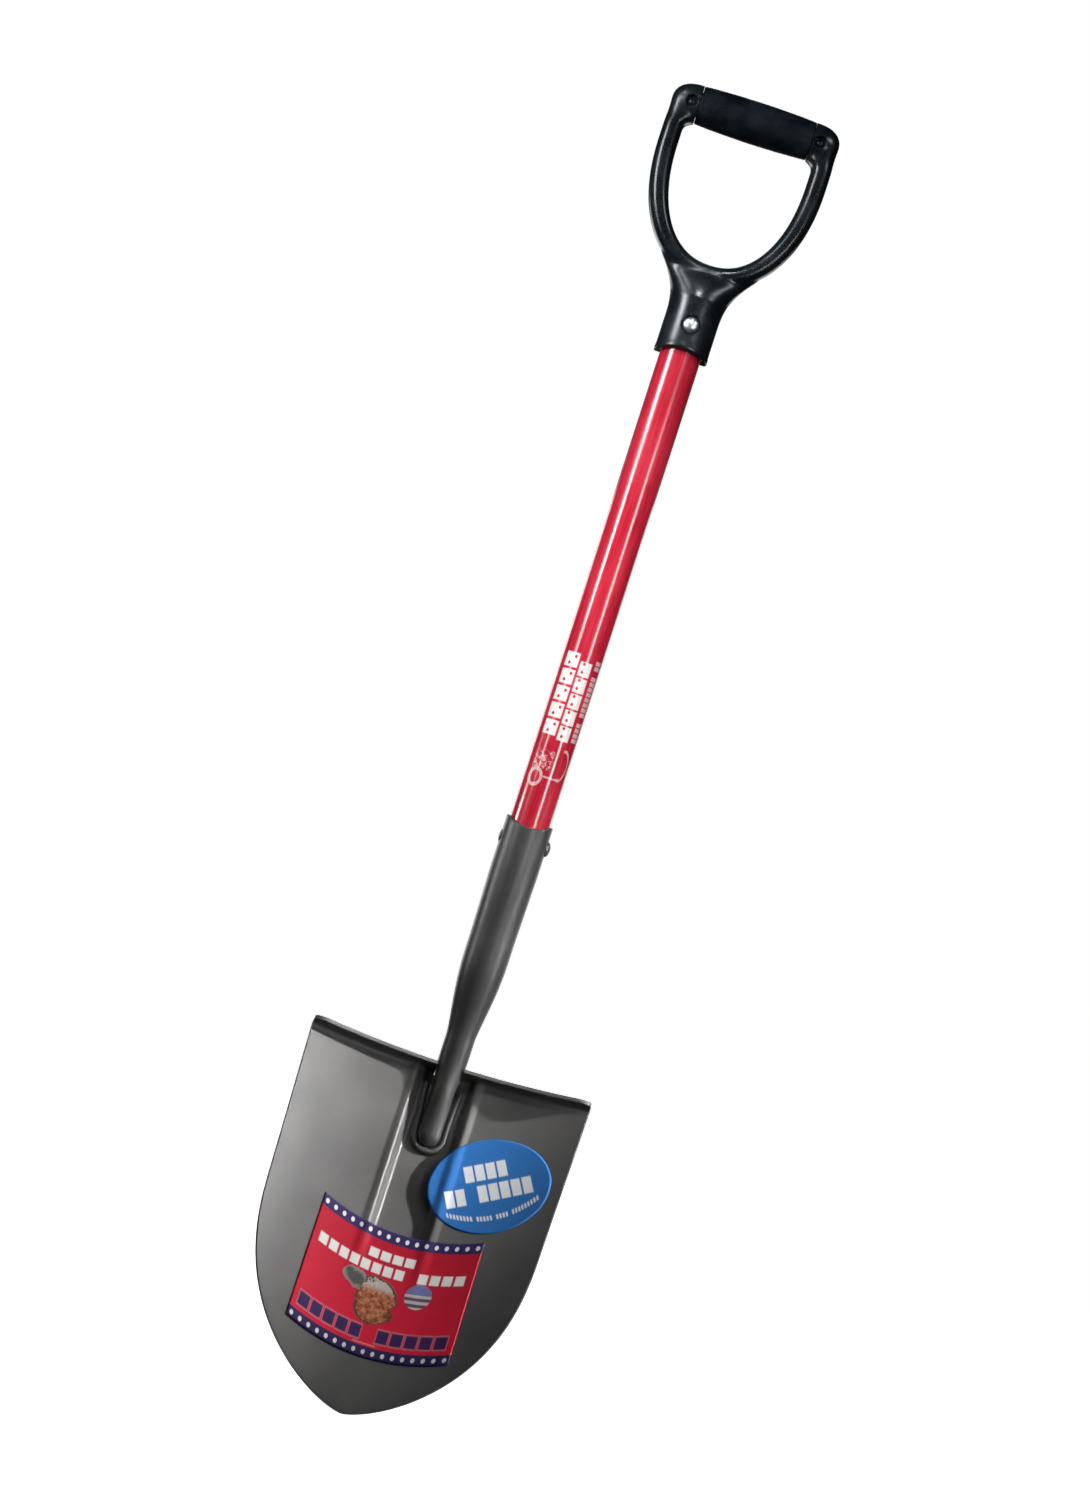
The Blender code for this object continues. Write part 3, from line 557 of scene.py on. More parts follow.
def oval_print():
    """Blue vinyl with two rows of white bars and a thin curved line of ticks under them."""
    s = Shader("blue_label_print", (0.03, 0.19, 0.55), 0.42, Specular_IOR_Level=0.35)
    across, up = s.sheet_place()
    mottle = s.noise(300, 3, 0.6)
    colour = s.mix(mottle, (0.03, 0.175, 0.54), (0.045, 0.215, 0.61))
    first = s.both(s.inside(up, 0.155, 0.5, 0.02), s.bars(across, -0.36, 0.18, 4, 0.82, 0.04))
    second = s.both(s.inside(up, -0.31, 0.05, 0.02), s.bars(across, -0.74, 0.18, 8, 0.82, 0.04, skipped=(2,)))
    sag = s.minus(up, s.times(s.times(across, across), 0.42))
    ticks = s.both(s.inside(sag, -0.72, -0.62, 0.02),
                   s.bars(across, -0.76, 0.052, 29, 0.66, 0.08, skipped=(8, 14, 19)))
    white = s.either(first, second, s.times(ticks, 0.9))
    return vinyl(s, s.mix(white, colour, (0.9, 0.92, 0.94)), mottle)


BLADE_PAINT = paint("charcoal_blade", (0.15, 0.146, 0.143), (0.185, 0.181, 0.177), 0.44, 0.3)
# The socket uses a darker copy of the blade's charcoal paint: painted shade on the socket and neck.
SHADED_SOCKET_PAINT = paint("charcoal_socket_painted_shade", (0.07, 0.07, 0.069), (0.09, 0.09, 0.088), 0.36, 0.35)
WELD_PAINT = paint("charcoal_weld", (0.1, 0.1, 0.098), (0.13, 0.13, 0.128), 0.36, 0.45, grain=0.0001)
RIVET_PAINT = paint("charcoal_rivet", (0.16, 0.16, 0.16), (0.22, 0.22, 0.22), 0.32, 0.7)
FIBREGLASS = fibreglass()
GRIP_PLASTIC = gloss_plastic()
SLEEVE_RUBBER = pebbled_rubber()
BRIGHT_STEEL = steel("bright_rivet_steel", (0.86, 0.88, 0.9), 0.4)
ZINC = steel("washer_zinc_plate", (0.62, 0.63, 0.64), 0.34)
PLUG_PLASTIC = raw_plastic()


# ---- blade

def half_width(up):
    share = (up - POINT_LENGTH) / (BLADE_LENGTH - POINT_LENGTH)
    return POINT_HALF_WIDTH + (BLADE_HALF_WIDTH - POINT_HALF_WIDTH) * share


def point_edge(side):
    across, along = POINT_POWERS
    return POINT_LENGTH * (1 - (1 - np.abs(side) ** across) ** (1 / along))


def dished(across, up):
    return DISH * (across / BLADE_HALF_WIDTH) ** 2 + TIP_CURL * (1 - up / BLADE_LENGTH) ** 2


def channel(across, up):
    start, full = CHANNEL_ENDS
    depth = CHANNEL_DEPTH * smooth((up - start) / (full - start))
    return depth * smooth((CHANNEL_HALF_WIDTH - np.abs(across)) / CHANNEL_WALL + 0.5)


def rib(across, up):
    start, full = CHANNEL_ENDS
    share = np.clip(np.abs(np.abs(across) - RIB_CENTRE) / RIB_HALF_WIDTH, 0, 1)
    return RIB_HEIGHT * smooth((up - start) / (full - start)) * (1 - share * share) ** 2


def front(across, up):
    """How far forward the sheet's front stands here."""
    return dished(across, up) - channel(across, up) + rib(across, up)


def step_depth(across):
    start = BLADE_HALF_WIDTH - STEP_CORNER
    share = np.clip((abs(across) - start) / STEP_CORNER, 0, 1)
    return STEP_DEPTH * (0.4 + 0.6 * sqrt(1 - share * share))


def blade_columns():
    """Shares of the half width from left to right, closer together near the blade's sides."""
    notch, wall_end = NOTCH_HALF_WIDTH / BLADE_HALF_WIDTH, 0.3
    notch_steps, wall_steps, outer_steps = 6, 33, 46
    half = list(np.linspace(0, notch, notch_steps + 1)[:-1])
    half += list(np.linspace(notch, wall_end, wall_steps + 1)[:-1])
    for i in range(outer_steps + 1):
        half.append(wall_end + (1 - wall_end) * sin(pi / 2 * i / outer_steps))
    return [-side for side in reversed(half[1:])] + half


def step_fold(across):
    """One column of a step: round the bend, then out to the step's edge."""
    bend_steps, out_steps = 8, 5
    depth = step_depth(across)
    bend = min(STEP_BEND, depth / 2)
    base, end = front(across, BLADE_LENGTH) + bend, dished(across, BLADE_LENGTH) + depth
    points = []
    for i in range(1, bend_steps + 1):
        angle = pi / 2 * i / bend_steps
        up = BLADE_LENGTH - bend * (1 - sin(angle))
        points.append(on_blade(across, up, base - bend * cos(angle)))
    for i in range(1, out_steps + 1):
        points.append(on_blade(across, BLADE_LENGTH, base + (end - base) * i / out_steps))
    return points


def blade_front():
    """(points, faces) of the sheet's front, with the steps folded forward above it."""
    rows = 120
    points, faces, lines = [], [], []
    for side in blade_columns():
        width = side * BLADE_HALF_WIDTH
        low, top = point_edge(side), BLADE_LENGTH - min(STEP_BEND, step_depth(width) / 2)
        up = low + (top - low) * np.linspace(0, 1, rows + 1)
        across = side * half_width(up)
        column = list(on_blade(across, up, front(across, up)))
        if abs(width) > NOTCH_HALF_WIDTH - 1e-6:
            column += step_fold(width)
        lines.append((len(points), len(column)))
        points += column
    for (left, left_count), (right, right_count) in zip(lines, lines[1:]):
        for k in range(min(left_count, right_count) - 1):
            faces.append((left + k, right + k, right + k + 1, left + k + 1))
    return points, faces


def make_blade():
    blade = new_object("steel_blade", *blade_front(), BLADE_PAINT)
    thicken(blade, STEEL, forward=False).use_even_offset = True
    edge = blade.modifiers.new("Bevel", "BEVEL")
    edge.width = 0.0006
    edge.segments = 2
    edge.limit_method = "ANGLE"
    edge.angle_limit = radians(50)
    apply_modifiers(blade)
    blade.data.shade_smooth()
    blade.data.set_sharp_from_angle(angle=radians(38))
    adopt(blade, "blade")


# ---- socket and weld

def socket_radius(height):
    mouth, body = SOCKET_RADIUS
    low, high = MOUTH_TAPER
    wide = mouth + (body - mouth) * np.clip((high - height) / (high - low), 0, 1)
    low, high = SHOULDER
    share = np.clip((height - low) / (high - low), 0, 1) ** SHOULDER_POWER
    return NECK_RADIUS + (wide - NECK_RADIUS) * smooth(share)


def mouth_dip(height):
    return SOCKET_DIP * smooth((height - DIP_START) / (SOCKET_TOP - DIP_START))


def ring(centre, lean, wide, deep, dip=0.0, seam=0.0, sides=128):
    """One section round a centre, leaning forward; seam sinks a narrow line down its back."""
    angle = np.arange(sides) * 2 * pi / sides
    shrink = 1 - seam * np.exp(-((angle - 1.5 * pi) / SEAM_HALF_ANGLE) ** 2)
    across, forward = wide * np.cos(angle) * shrink, deep * np.sin(angle) * shrink
    drop = dip * np.sin(angle) ** 2
    section = np.stack([across, -forward * cos(lean), forward * sin(lean) - drop], -1)
    return np.array(centre) + section


def blade_line(up, forward):
    """A point on the blade's middle line, in the shaft line's frame."""
    return on_blade(0, up, forward) - (0, AXIS_Y, 0)


def tongue_section(down):
    """Centre, half width and half depth of the tongue, that far below the blade's top line."""
    narrow_by, narrowing, end_drop = 0.018, 0.03, 0.45
    depth = NECK_RADIUS + (TONGUE_HALF_DEPTH - NECK_RADIUS) * smooth(down / TONGUE_LENGTH)
    width = TONGUE_HALF_WIDTH + (NECK_RADIUS - TONGUE_HALF_WIDTH) * smooth((narrow_by - down) / narrowing)
    past = np.clip((down - TONGUE_RUN) / TONGUE_HALF_WIDTH, 0, 1)
    width *= sqrt(1 - past * past)
    lowered = depth * (1 - end_drop * past * past)
    up = BLADE_LENGTH - down
    floor = dished(0, up) - channel(0, up) + GAP
    return blade_line(up, floor + lowered), width, lowered


def socket_tube():
    """Rings up the bore, over the rolled lip, and down the outside to the neck."""
    rings = []
    for height in np.linspace(SOCKET_BORE_END, SOCKET_TOP, 60):
        radius = socket_radius(height) - SOCKET_WALL
        rings.append(ring((0, 0, height), 0, radius, radius, mouth_dip(height)))
    for angle in np.linspace(0, pi, 7):
        radius = socket_radius(SOCKET_TOP) - SOCKET_WALL / 2 * (1 + cos(angle))
        height = SOCKET_TOP - SOCKET_LIP * (1 - sin(angle))
        rings.append(ring((0, 0, height), 0, radius, radius, SOCKET_DIP))
    for height in np.linspace(SOCKET_TOP - 0.002, NECK_BOTTOM, 110):
        radius = socket_radius(height)
        seam = SEAM_DEPTH * smooth((height - SEAM_START) / SEAM_RISE)
        rings.append(ring((0, 0, height), 0, radius, radius, mouth_dip(height), seam))
    return rings


def socket_crank():
    """Rings round the bend below the neck, and down the tongue to its round end."""
    start = np.array((0, 0, NECK_BOTTOM))
    end, width, depth = tongue_section(TONGUE_START)
    knee = blade_line(BLADE_LENGTH, dished(0, BLADE_LENGTH) - CHANNEL_DEPTH + NECK_RADIUS + GAP)
    knee[1] = 0
    rings = []
    for share in np.linspace(0, 1, 25)[1:-1]:
        centre = bezier(start, knee, end, share)
        rings.append(ring(centre, LIFT * share, NECK_RADIUS + (width - NECK_RADIUS) * share ** 2,
                          NECK_RADIUS + (depth - NECK_RADIUS) * share ** 2))
    almost_all = 0.9985 * TONGUE_HALF_WIDTH
    downs = list(np.linspace(TONGUE_START, TONGUE_RUN, 24))
    downs += [TONGUE_RUN + almost_all * sin(pi / 2 * i / 14) for i in range(1, 15)]
    for down in downs:
        centre, width, depth = tongue_section(down)
        rings.append(ring(centre, LIFT, width, depth))
    return rings


def make_socket():
    rings = socket_tube() + socket_crank()
    new_object("steel_socket", on_shaft(np.concatenate(rings)), tube_faces(len(rings), len(rings[0])),
               SHADED_SOCKET_PAINT, "socket", "socket_paint", sharp=50)


def weld_line():
    """Evenly spaced (across, up) points along the U round the tongue, and how far along each lies."""
    offset = TONGUE_HALF_WIDTH + BEAD_RADIUS + 2 * GAP
    turn = BLADE_LENGTH - TONGUE_RUN
    top = BLADE_LENGTH - BEAD_START
    straight = [(offset + BEAD_FLARE * (1 - i / 30) ** 2, top + (turn - top) * i / 30) for i in range(30)]
    angles = [pi / 2 * i / 24 for i in range(25)]
    half = straight + [(offset * cos(angle), turn - offset * sin(angle)) for angle in angles]
    flat = np.array(half + [(-across, up) for across, up in reversed(half[:-1])])
    run = np.concatenate([[0], np.cumsum(np.linalg.norm(np.diff(flat, axis=0), axis=1))])
    steps = np.linspace(0, run[-1], 360)
    return np.stack([np.interp(steps, run, flat[:, 0]), np.interp(steps, run, flat[:, 1])], -1), steps


def make_weld():
    """A rippled bead along the U, tapered at both ends."""
    flat, steps = weld_line()
    heading = np.gradient(flat, axis=0)
    heading /= np.linalg.norm(heading, axis=1)[:, None]
    side = np.stack([heading[:, 1], -heading[:, 0]], -1)
    around, taper_length, ripple_length = 18, 0.0028, 0.0023
    points = []
    for i, step in enumerate(steps):
        wander = 0.00035 * noise.noise(Vector((step * 160, 3.1, 0)))
        swell = 1 + 0.06 * noise.noise(Vector((step * 220, 0.4, 7)))
        taper = min(1.0, sqrt(max(0.0, min(step, steps[-1] - step) / taper_length)))
        across, up = flat[i]
        floor = dished(across, up) - channel(across, up)
        for k in range(around):
            angle = 2 * pi * k / around
            phase = (step - 0.0011 * cos(angle) ** 2) / ripple_length
            ripple = 1 - 0.1 * abs(sin(pi * phase))
            radius = BEAD_RADIUS * 1.04 * swell * ripple * max(taper, 0.02)
            out = side[i] * (radius * cos(angle) + wander)
            forward = floor + BEAD_RADIUS * 0.75 + radius * sin(angle)
            points.append(on_blade(across + out[0], up + out[1], forward))
    new_object("weld_bead", points, tube_faces(len(steps), around), WELD_PAINT, "socket_weld", "weld_paint")


# ---- shaft and rivets

def make_shaft():
    low, high = SHAFT_ENDS
    wall, rim, taper_top = SOCKET_WALL + GAP, 0.001, MOUTH_TAPER[1]
    profile = [(SHAFT_BORE, high), (SHAFT_RADIUS - rim, high), (SHAFT_RADIUS - 0.3 * rim, high - 0.3 * rim),
               (SHAFT_RADIUS, high - rim)]
    profile += [(SHAFT_RADIUS, height) for height in np.linspace(high - 2 * rim, taper_top, 60)]
    for height in np.linspace(taper_top - 0.005, low, 12):
        profile.append((min(SHAFT_RADIUS, socket_radius(height) - wall), height))
    profile += [(SHAFT_BORE, low)]
    profile += [(SHAFT_BORE, height) for height in np.linspace(low + 0.01, high - 0.01, 12)]
    turned_object("fibreglass_shaft", profile + profile[:1], 128, "Z", (0, 0, 0), FIBREGLASS,
                  "shaft", "red_fibreglass", sharp=45)


def rivet(name, axis, head_at, tail_at, tail, height, material, node, slot):
    """Domed head, shank and formed tail, as one turned body."""
    tail_radius, tail_height = tail
    crown = [(RIVET_HEAD * sin(a), head_at + RIVET_DOME * cos(a))
             for a in np.linspace(0, pi / 2, 26)]
    end = [(tail_radius * sin(a), -tail_at - tail_height * cos(a))
           for a in np.linspace(pi / 2, 0, 14)[1:]]
    profile = crown + [(RIVET_SHANK, head_at), (RIVET_SHANK, -tail_at), (tail_radius, -tail_at)] + end
    turned_object(name, profile, 64, axis, (0, 0, height), material, node, slot, sharp=50)


def make_rivets():
    rivet("socket_rivet_head", "X", SOCKET_SEAT + GAP, SOCKET_SEAT + GAP, SOCKET_RIVET_TAIL,
          SOCKET_RIVET_HEIGHT, RIVET_PAINT, "socket_rivet", "painted_rivet")
    washer_back = GRIP_SEAT + GAP + WASHER_THICKNESS
    rivet("grip_rivet_head", "Y", GRIP_SEAT + GAP, washer_back + GAP, GRIP_RIVET_TAIL,
          GRIP_RIVET_HEIGHT, BRIGHT_STEEL, "grip_rivet", "bright_rivet")
    inner, low, high = RIVET_SHANK + GAP, -washer_back, -GRIP_SEAT - GAP
    corners = [(inner, high), (WASHER_RADIUS, high), (WASHER_RADIUS, low), (inner, low), (inner, high)]
    turned_object("rear_washer", rounded_profile(corners, 0.0003), 64, "Y", (0, 0, GRIP_RIVET_HEIGHT), ZINC,
                  "grip_rivet_washer", "washer_zinc", sharp=50)


# ---- D-grip

def superellipse(angle, power):
    return [np.sign(part) * np.abs(part) ** (2 / power) for part in (np.cos(angle), np.sin(angle))]


def arm_pairs():
    """(outer across, inner across, height) down one arm, from the bar's middle line."""
    under, fillet = GRIP_TOP - BAR_HEIGHT, 0.006
    pairs = []
    for height in np.linspace(BAR_Z, under + fillet / 2, 20):
        pairs.append((GRIP_HALF_WIDTH - 0.0004, SLEEVE_HALF_LENGTH, height))
    for angle in np.linspace(pi / 2, 0, 12):
        inner = HOLE_HALF_WIDTH - fillet * (1 - cos(angle))
        pairs.append((GRIP_HALF_WIDTH, inner, under - fillet * (1 - sin(angle))))
    return pairs


def bar_end(side):
    """Rounded end of the bar, outside the sleeve, where an arm meets it."""
    inner, shoulder = BAR_END
    profile = [(0.0, inner), (BAR_END_RADIUS, inner)]
    for angle in np.linspace(pi / 2, 0, 20):
        out, side_share = superellipse(angle, 2.3)
        along = shoulder + (GRIP_HALF_WIDTH - shoulder) * float(out)
        profile.append((max(BAR_END_RADIUS * float(side_share), 0.0), along))
    points, faces = turned(profile, 96, "X")
    return new_object("bar_end", on_shaft(np.array(points) * (side, SLEEVE_FLATTEN, 1), BAR_Z), faces,
                      GRIP_PLASTIC)


def loft_object(name, rings):
    points = on_shaft(np.concatenate(rings))
    return new_object(name, points, tube_faces(len(rings), len(rings[0])), GRIP_PLASTIC)


def bow_rings():
    """Sections of the D, from the bar down one arm, round the bow and up the other arm."""
    around, section_power = 128, 2.35
    arm = [((outer, height), (inner, height)) for outer, inner, height in arm_pairs()]
    bow = []
    for angle in np.linspace(0, pi, 281):
        out, down = superellipse(angle, BOW_POWER)
        bow.append(((GRIP_HALF_WIDTH * out, GRIP_SPRING - OUTER_DROP * down),
                    (HOLE_HALF_WIDTH * out, GRIP_SPRING - INNER_DROP * down)))
    other_arm = [((-o[0], o[1]), (-i[0], i[1])) for o, i in reversed(arm)]
    rings = []
    angle = 2 * pi * (np.arange(around) + 0.5) / around
    out, back = superellipse(angle, section_power)
    for outer, inner in np.array(arm + bow + other_arm):
        middle, reach = (outer + inner) / 2, (outer - inner) / 2
        flat = middle + out[:, None] * reach
        rings.append(np.stack([flat[:, 0], GRIP_HALF_DEPTH * back, flat[:, 1]], -1))
    return rings


def neck_rings():
    """Sections of the collar with its arched lip, and of the web above it."""
    lip = COLLAR_RADIUS + COLLAR_LIP
    sections = [  # height, half width, half depth
        (COLLAR_BOTTOM, lip - 0.0004, lip - 0.0004), (COLLAR_BOTTOM + 0.0004, lip, lip),
        (COLLAR_BOTTOM + 0.0015, lip, lip),
        (0.832, COLLAR_RADIUS, COLLAR_RADIUS), (0.86, COLLAR_RADIUS, COLLAR_RADIUS),
        (0.866, 0.0214, 0.0209), (0.87, 0.0221, 0.0208), (0.872, 0.0226, 0.0207),
        (0.8727, 0.0226, 0.0202), (0.876, 0.0238, 0.0196), (0.879, 0.0251, 0.0186),
        (0.8835, 0.0273, 0.0166), (0.887, 0.0296, 0.0146), (0.8905, 0.032, 0.0124),
        (0.8943, 0.035, 0.01), (0.8975, 0.0378, 0.008), (0.9, 0.0398, 0.0062)]
    heights, wide, deep = (np.array(column) for column in zip(*sections))
    rings = []
    for height in np.unique(np.concatenate([heights, np.linspace(heights[0], heights[-1], 80)])):
        arch = COLLAR_ARCH * (1 - smooth((height - COLLAR_BOTTOM - 0.002) / 0.02))
        rings.append(ring((0, 0, height), 0, np.interp(height, heights, wide),
                          np.interp(height, heights, deep), -arch, sides=96))
    return rings


def cut(obj, profile, sides, axis, place):
    """Cuts a turned shape out of an object."""
    cutter = turned_object("cutter", profile, sides, axis, place, GRIP_PLASTIC)
    obj.modifiers.new("Boolean", "BOOLEAN").object = cutter
    apply_modifiers(obj)
    bpy.data.objects.remove(cutter, do_unlink=True)


def relax(obj, iterations, group=""):
    modifier = obj.modifiers.new("Smooth", "SMOOTH")
    modifier.factor = 0.5
    modifier.iterations = iterations
    modifier.vertex_group = group


def grip_blank():
    """Frame, bar core, collar and bar ends, melted together."""
    grip = loft_object("moulded_d_grip", bow_rings())
    half = CORE_HALF_LENGTH
    core = [(0, half), (CORE_RADIUS, half), (CORE_RADIUS, -half), (0, -half)]
    extra = [turned_object("core", core, 48, "X", (0, 0, BAR_Z), GRIP_PLASTIC),
             loft_object("neck", neck_rings())]
    extra += [bar_end(side) for side in (-1, 1)]
    joined = bmesh.new()
    joined.from_mesh(grip.data)
    for piece in extra:
        joined.from_mesh(piece.data)
        bpy.data.objects.remove(piece, do_unlink=True)
    bmesh.ops.remove_doubles(joined, verts=joined.verts, dist=0.00001)
    joined.to_mesh(grip.data)
    joined.free()
    melt = grip.modifiers.new("Remesh", "REMESH")
    melt.mode = "VOXEL"
    melt.voxel_size = MELT
    melt.use_smooth_shade = True
    relax(grip, 36)
    apply_modifiers(grip)
    return grip


def soften_web(grip):
    """Smooths the web above the collar and the corners beside the bar once more."""
    web_start, web_end, corner_start = 0.871, 0.915, 0.99
    group = grip.vertex_groups.new(name="web")
    for vertex in grip.data.vertices:
        height = vertex.co.z
        weight = float(smooth((height - web_start) / 0.008) * (1 - smooth((height - web_end) / 0.02)))
        weight = max(weight, float(smooth((height - corner_start) / 0.008)))
        if weight > 0:
            group.add([vertex.index], weight, "REPLACE")
    relax(grip, 90, group.name)
    apply_modifiers(grip)


def cut_grip(grip):
    """Pocket for the sleeve, bore for the shaft, hole and seats for the rivet, and the ears' recesses."""
    pocket, beyond = SLEEVE_HALF_LENGTH + GAP, 0.019
    corners = [(CORE_RADIUS, pocket), (beyond, pocket), (beyond, -pocket), (CORE_RADIUS, -pocket)]
    cut(grip, corners + corners[:1], 96, "X", (0, 0, BAR_Z))
    bore, depth, below = SHAFT_RADIUS + GAP, SHAFT_ENDS[1] + GAP, 0.8
    cut(grip, [(0, depth), (bore, depth), (bore, below), (0, below)], 96, "Z", (0, 0, 0))
    hole, beyond, chamfer = RIVET_SHANK + GAP, 0.03, 0.0006
    profile = [(0, beyond), (RIVET_SEAT + chamfer, beyond), (RIVET_SEAT + chamfer, COLLAR_RADIUS + 0.0001),
               (RIVET_SEAT, COLLAR_RADIUS - chamfer), (RIVET_SEAT, GRIP_SEAT), (hole, GRIP_SEAT),
               (hole, -GRIP_SEAT), (RIVET_SEAT, -GRIP_SEAT), (RIVET_SEAT, -beyond), (0, -beyond)]
    cut(grip, profile, 64, "Y", (0, 0, GRIP_RIVET_HEIGHT))
    profile = [(0, beyond), (0.0052, beyond), (0.0052, 0.0106), (0.0046, 0.0094), (0.0026, 0.0092),
               (0.0022, 0.01), (0.0012, 0.0106), (0, 0.0107)]
    across, height = EAR_RECESS
    for side in (-1, 1):
        cut(grip, profile, 48, "Y", (side * across, 0, height))


def make_grip():
    """Frame, collar and bar moulded in one, then cut for sleeve, shaft and rivet."""
    grip = grip_blank()
    soften_web(grip)
    cut_grip(grip)
    grip.data.shade_smooth()
    grip.data.set_sharp_from_angle(angle=radians(42))
    grip.data.materials.clear()
    grip.data.materials.append(GRIP_PLASTIC)
    adopt(grip, "d_grip")


def make_sleeve():
    """Barrel with rounded pebbles raised in its surface."""
    end, middle = SLEEVE_RADIUS
    inner, length = CORE_RADIUS + GAP, SLEEVE_HALF_LENGTH
    around, along_count, rim_share = 300, 260, 0.98
    points = []
    for k in range(around):
        angle = 2 * pi * k / around
        back, up = cos(angle), sin(angle)
        points.append((length, -inner * back, inner * up))
        for i in range(along_count + 1):
            share = 1 - 2 * i / along_count
            radius = end + (middle - end) * (1 - share ** 2)
            radius -= 0.0005 * max(0.0, (abs(share) - rim_share) / (1 - rim_share)) ** 2
            place = Vector((share * length, radius * back, radius * up)) * PEBBLES_PER_METRE
            distance, _ = noise.voronoi(place, distance_metric="DISTANCE", exponent=2.5)
            radius += PEBBLE_RELIEF * (0.5 - distance[0]) + 0.0001 * noise.noise(place * 0.18)
            points.append((share * length, -radius * SLEEVE_FLATTEN * back, radius * up))
        points.append((-length, -inner * back, inner * up))
    faces = grid_faces(around, along_count + 3, close_lines=True, close_points=True)
    new_object("pebbled_sleeve", on_shaft(points, BAR_Z), faces, SLEEVE_RUBBER,
               "grip_sleeve", "sleeve_rubber", sharp=60)


# ---- stickers

def sticker(name, across, up, uv, lines, count, material, node, close=False):
    """A thin vinyl sheet on the dish; it bridges the channel and sinks a little between its walls."""
    sink = VINYL_SINK * np.minimum(channel(across, up) / CHANNEL_DEPTH, 1.0)
    points = on_blade(across, up, dished(across, up) + rib(across, up) + VINYL - sink)
    obj = new_object(name, points, grid_faces(lines, count, close_lines=close), material)
    layer = obj.data.uv_layers.new(name="UVMap")
    for loop in obj.data.loops:
        layer.data[loop.index].uv = uv[loop.vertex_index]
    thicken(obj, VINYL, forward=True)
    apply_modifiers(obj)
    adopt(obj, node)


def make_blade_label():
    columns, rows = 90, 40
    share = np.repeat(np.linspace(-1, 1, columns + 1), rows + 1)
    row = np.tile(np.linspace(0, 1, rows + 1), columns + 1)
    across = LABEL_CENTRE[0] + LABEL_HALF_SIZE[0] * share
    up = LABEL_CENTRE[1] + LABEL_HALF_SIZE[1] * (2 * row - 1) - LABEL_SMILE * (1 - share ** 2)
    uv = np.stack([(share + 1) / 2, row], -1)
    sticker("blade_sticker", across, up, uv, columns + 1, rows + 1, label_print(),
            "blade_label")


def make_oval_label():
    around, rings = 120, 24
    angle = np.repeat(np.arange(around) * 2 * pi / around, rings + 1)
    reach = np.tile(np.linspace(0.001, 1, rings + 1), around)
    a, b = reach * np.cos(angle), reach * np.sin(angle)
    long, short = OVAL_HALF_SIZE[0] * a, OVAL_HALF_SIZE[1] * b
    across = OVAL_CENTRE[0] + long * cos(OVAL_TILT) - short * sin(OVAL_TILT)
    up = OVAL_CENTRE[1] + long * sin(OVAL_TILT) + short * cos(OVAL_TILT)
    sticker("oval_sticker", across, up, np.stack([a, b], -1), around, rings + 1, oval_print(),
            "oval_label", close=True)


# ---- studio and camera

def area_light(name, at, target, size, power, spread, colour):
    light = bpy.data.lights.new(name, "AREA")
    light.shape = "RECTANGLE"
    light.size, light.size_y = size
    light.energy = power
    light.color = colour
    light.spread = radians(spread)
    obj = add_object(name, light)
    obj.location = at
    obj.rotation_euler = (Vector(target) - Vector(at)).to_track_quat("-Z", "Y").to_euler()
    obj.visible_camera = False


def from_front(azimuth, elevation, distance, height):
    """A point that far from the shaft, azimuth degrees to the right of the camera's side."""
    a, e = radians(azimuth), radians(elevation)
    return (distance * sin(a) * cos(e), AXIS_Y - distance * cos(a) * cos(e),
            height + distance * sin(e))


def split_by_ray(tree, to_camera, to_rest, output):
    """One shader for what the camera sees itself, and another for every other ray."""
    path, mix = tree.nodes.new("ShaderNodeLightPath"), tree.nodes.new("ShaderNodeMixShader")
    tree.links.new(path.outputs["Is Camera Ray"], mix.inputs[0])
    tree.links.new(to_rest.outputs[0], mix.inputs[1])
    tree.links.new(to_camera.outputs[0], mix.inputs[2])
    tree.links.new(mix.outputs[0], output.inputs[0])


def make_world():
    """White to the camera, and almost no light from it."""
    world = bpy.data.worlds.new("studio")
    bpy.context.scene.world = world
    world.use_nodes = True
    nodes = world.node_tree.nodes
    nodes.clear()
    seen, lit = nodes.new("ShaderNodeBackground"), nodes.new("ShaderNodeBackground")
    seen.inputs["Color"].default_value = (1, 1, 1, 1)
    lit.inputs["Color"].default_value = (0.8, 0.84, 0.88, 1)
    lit.inputs["Strength"].default_value = 0.0006
    split_by_ray(world.node_tree, seen, lit, nodes.new("ShaderNodeOutputWorld"))


def make_floor():
    """A wide floor just under the blade's tip, almost black to every ray but the camera's."""
    floor = Shader("pale_floor", (0.8, 0.8, 0.8), 0.7)
    tone = floor.mix(floor.noise(3), (0.79, 0.79, 0.79), (0.81, 0.81, 0.81))
    material = floor.set(Base_Color=tone)
    nodes, links = floor.tree.nodes, floor.tree.links
    glow = nodes.new("ShaderNodeEmission")
    white = nodes.new("ShaderNodeAddShader")
    links.new(floor.surface.outputs[0], white.inputs[0])
    links.new(glow.outputs[0], white.inputs[1])
    dim = floor.put("ShaderNodeBsdfDiffuse", Color=(0.02, 0.02, 0.02, 1))
    split_by_ray(floor.tree, white, dim, nodes["Material Output"])
    side, level = 40, -0.0004
    corners = [(-side, -side, level), (side, -side, level), (side, side, level), (-side, side, level)]
    new_object("floor", corners, [(0, 1, 2, 3)], material)


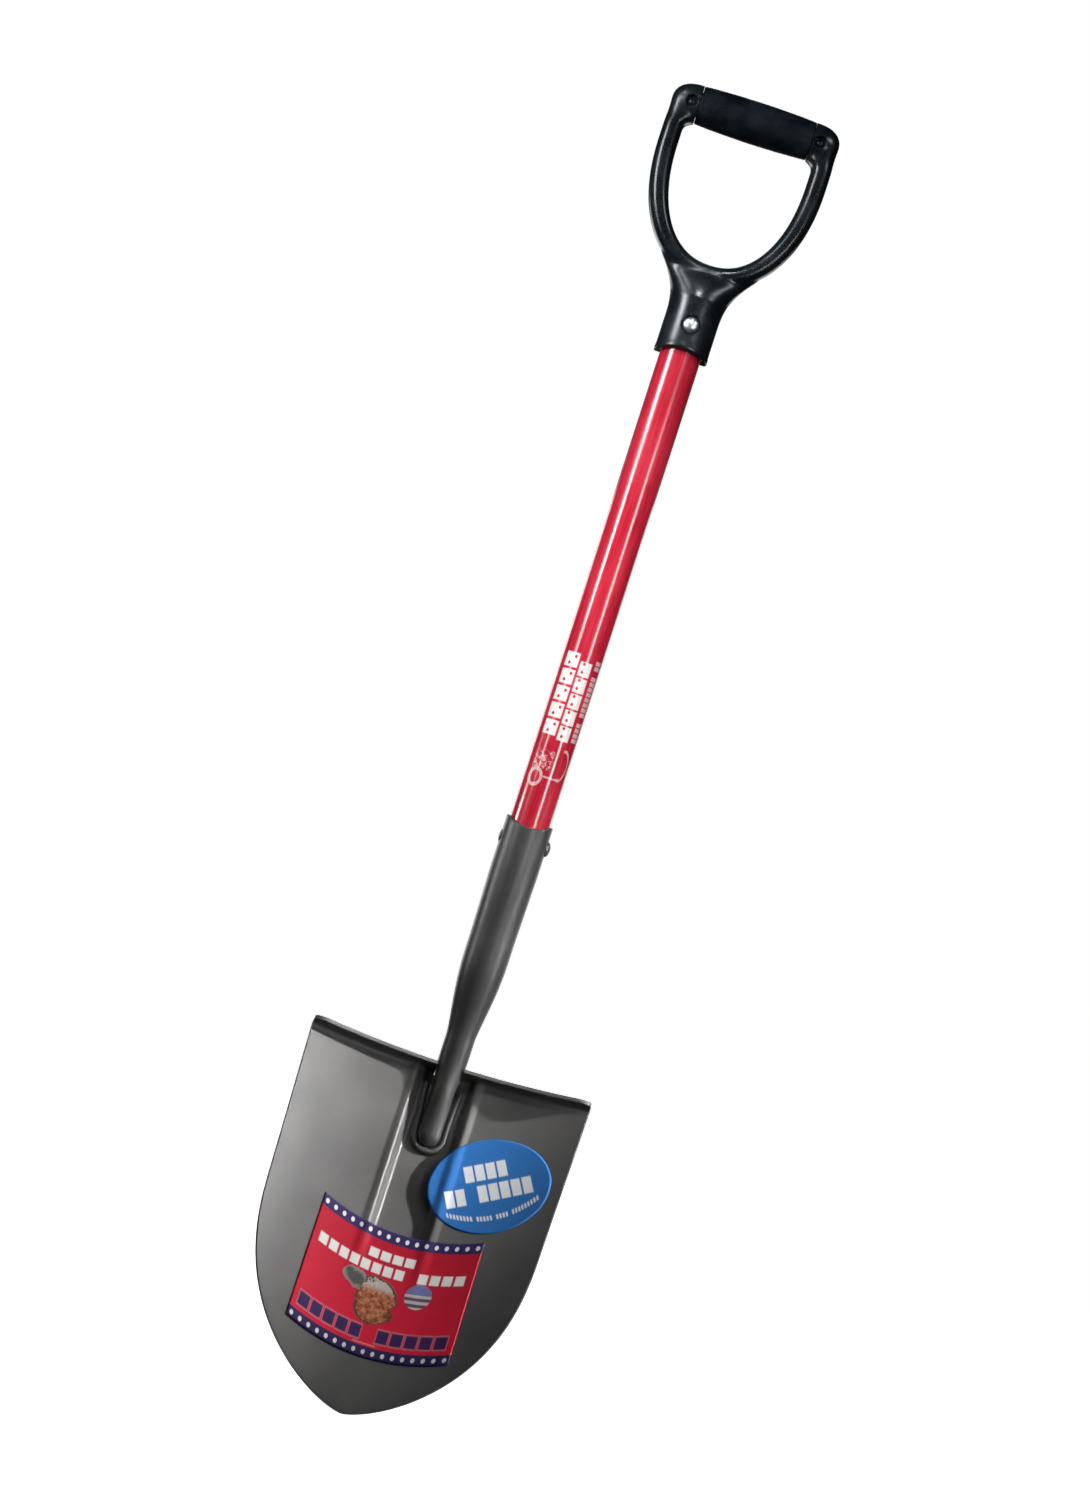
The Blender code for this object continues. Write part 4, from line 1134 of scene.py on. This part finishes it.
def make_lights():
    """Each light is aimed at a height on the shaft's line."""
    white, cool = (1, 1, 1), (0.84, 0.92, 1.0)
    lights = [  # name, azimuth, elevation, distance, height, aim, size, power, spread, colour
        ("main", 48, 42, 2.2, 0.5, 0.5, (0.5, 0.5), 6, 180, white),
        ("handle", -6, 42, 2.2, 0.61, 0.61, (0.25, 0.25), 0.31, 12, white),
        ("blade_key", 72, 30, 1.7, 0.16, 0.2, (0.08, 0.08), 0.55, 19, white),
        ("strip_left", -53, 0, 1.6, 1.1, 1.02, (0.4, 0.7), 0.85, 40, white),
        ("strip_low_left", -50, 0, 1.6, 0.75, 0.7, (0.3, 0.4), 0.2, 40, white),
        ("strip_right", 31, 0, 1.6, 0.72, 0.66, (0.26, 0.55), 0.4, 40, white),
        ("grip_left", -60, 0, 1.5, 1.22, 0.95, (0.45, 0.45), 0.34, 30, cool),
        ("grip_upper", -50, 35, 1.5, 0.95, 0.95, (0.3, 0.3), 0.13, 30, cool),
        ("socket_left", -86, 0, 1.5, 0.43, 0.43, (0.3, 0.12), 0.07, 20, white),
        ("socket_right", 64, 0, 1.5, 0.28, 0.34, (0.2, 0.16), 0.04, 20, white),
        ("behind_left", -150, 0, 1.9, 0.5, 0.3, (1.0, 0.9), 7, 180, white),
        ("behind_right", 155, 0, 1.9, 0.5, 0.3, (1.0, 0.9), 5, 180, white),
        ("behind_high", 180, 35, 2.2, 0.6, 0.6, (0.8, 0.8), 3, 180, white),
    ]
    for name, azimuth, elevation, distance, height, aim, size, power, spread, colour in lights:
        at = from_front(azimuth, elevation, distance, height)
        area_light(name, at, (0, AXIS_Y, aim), size, power, spread, colour)


def make_camera():
    """Straight ahead of the shovel and tilted on its side, so that the handle leans to the right."""
    data = bpy.data.cameras.new("camera")
    data.sensor_fit = "VERTICAL"
    data.sensor_height = 36.0
    data.lens = 69.2232
    data.clip_start, data.clip_end = 0.05, 100
    camera = add_object("camera", data)
    camera.location = (-0.0296, AXIS_Y - 2.2, 0.4277)
    pitch, yaw, roll = radians(2.079), radians(0.616), radians(17.89)
    look = Vector((sin(yaw) * cos(pitch), cos(yaw) * cos(pitch), sin(pitch)))
    camera.rotation_mode = "QUATERNION"
    level = look.to_track_quat("-Z", "Y")
    camera.rotation_quaternion = level @ Quaternion((0, 0, 1), roll)
    bpy.context.scene.camera = camera


make_blade()
make_socket()
make_weld()
make_shaft()
make_rivets()
make_grip()
make_sleeve()
make_blade_label()
make_oval_label()
for plug in ("lower_shaft_plug", "upper_shaft_plug"):
    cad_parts[plug].data.materials.clear()
    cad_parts[plug].data.materials.append(PLUG_PLASTIC)
bpy.context.scene.view_settings.view_transform = "Standard"
make_world()
make_floor()
make_lights()
make_camera()
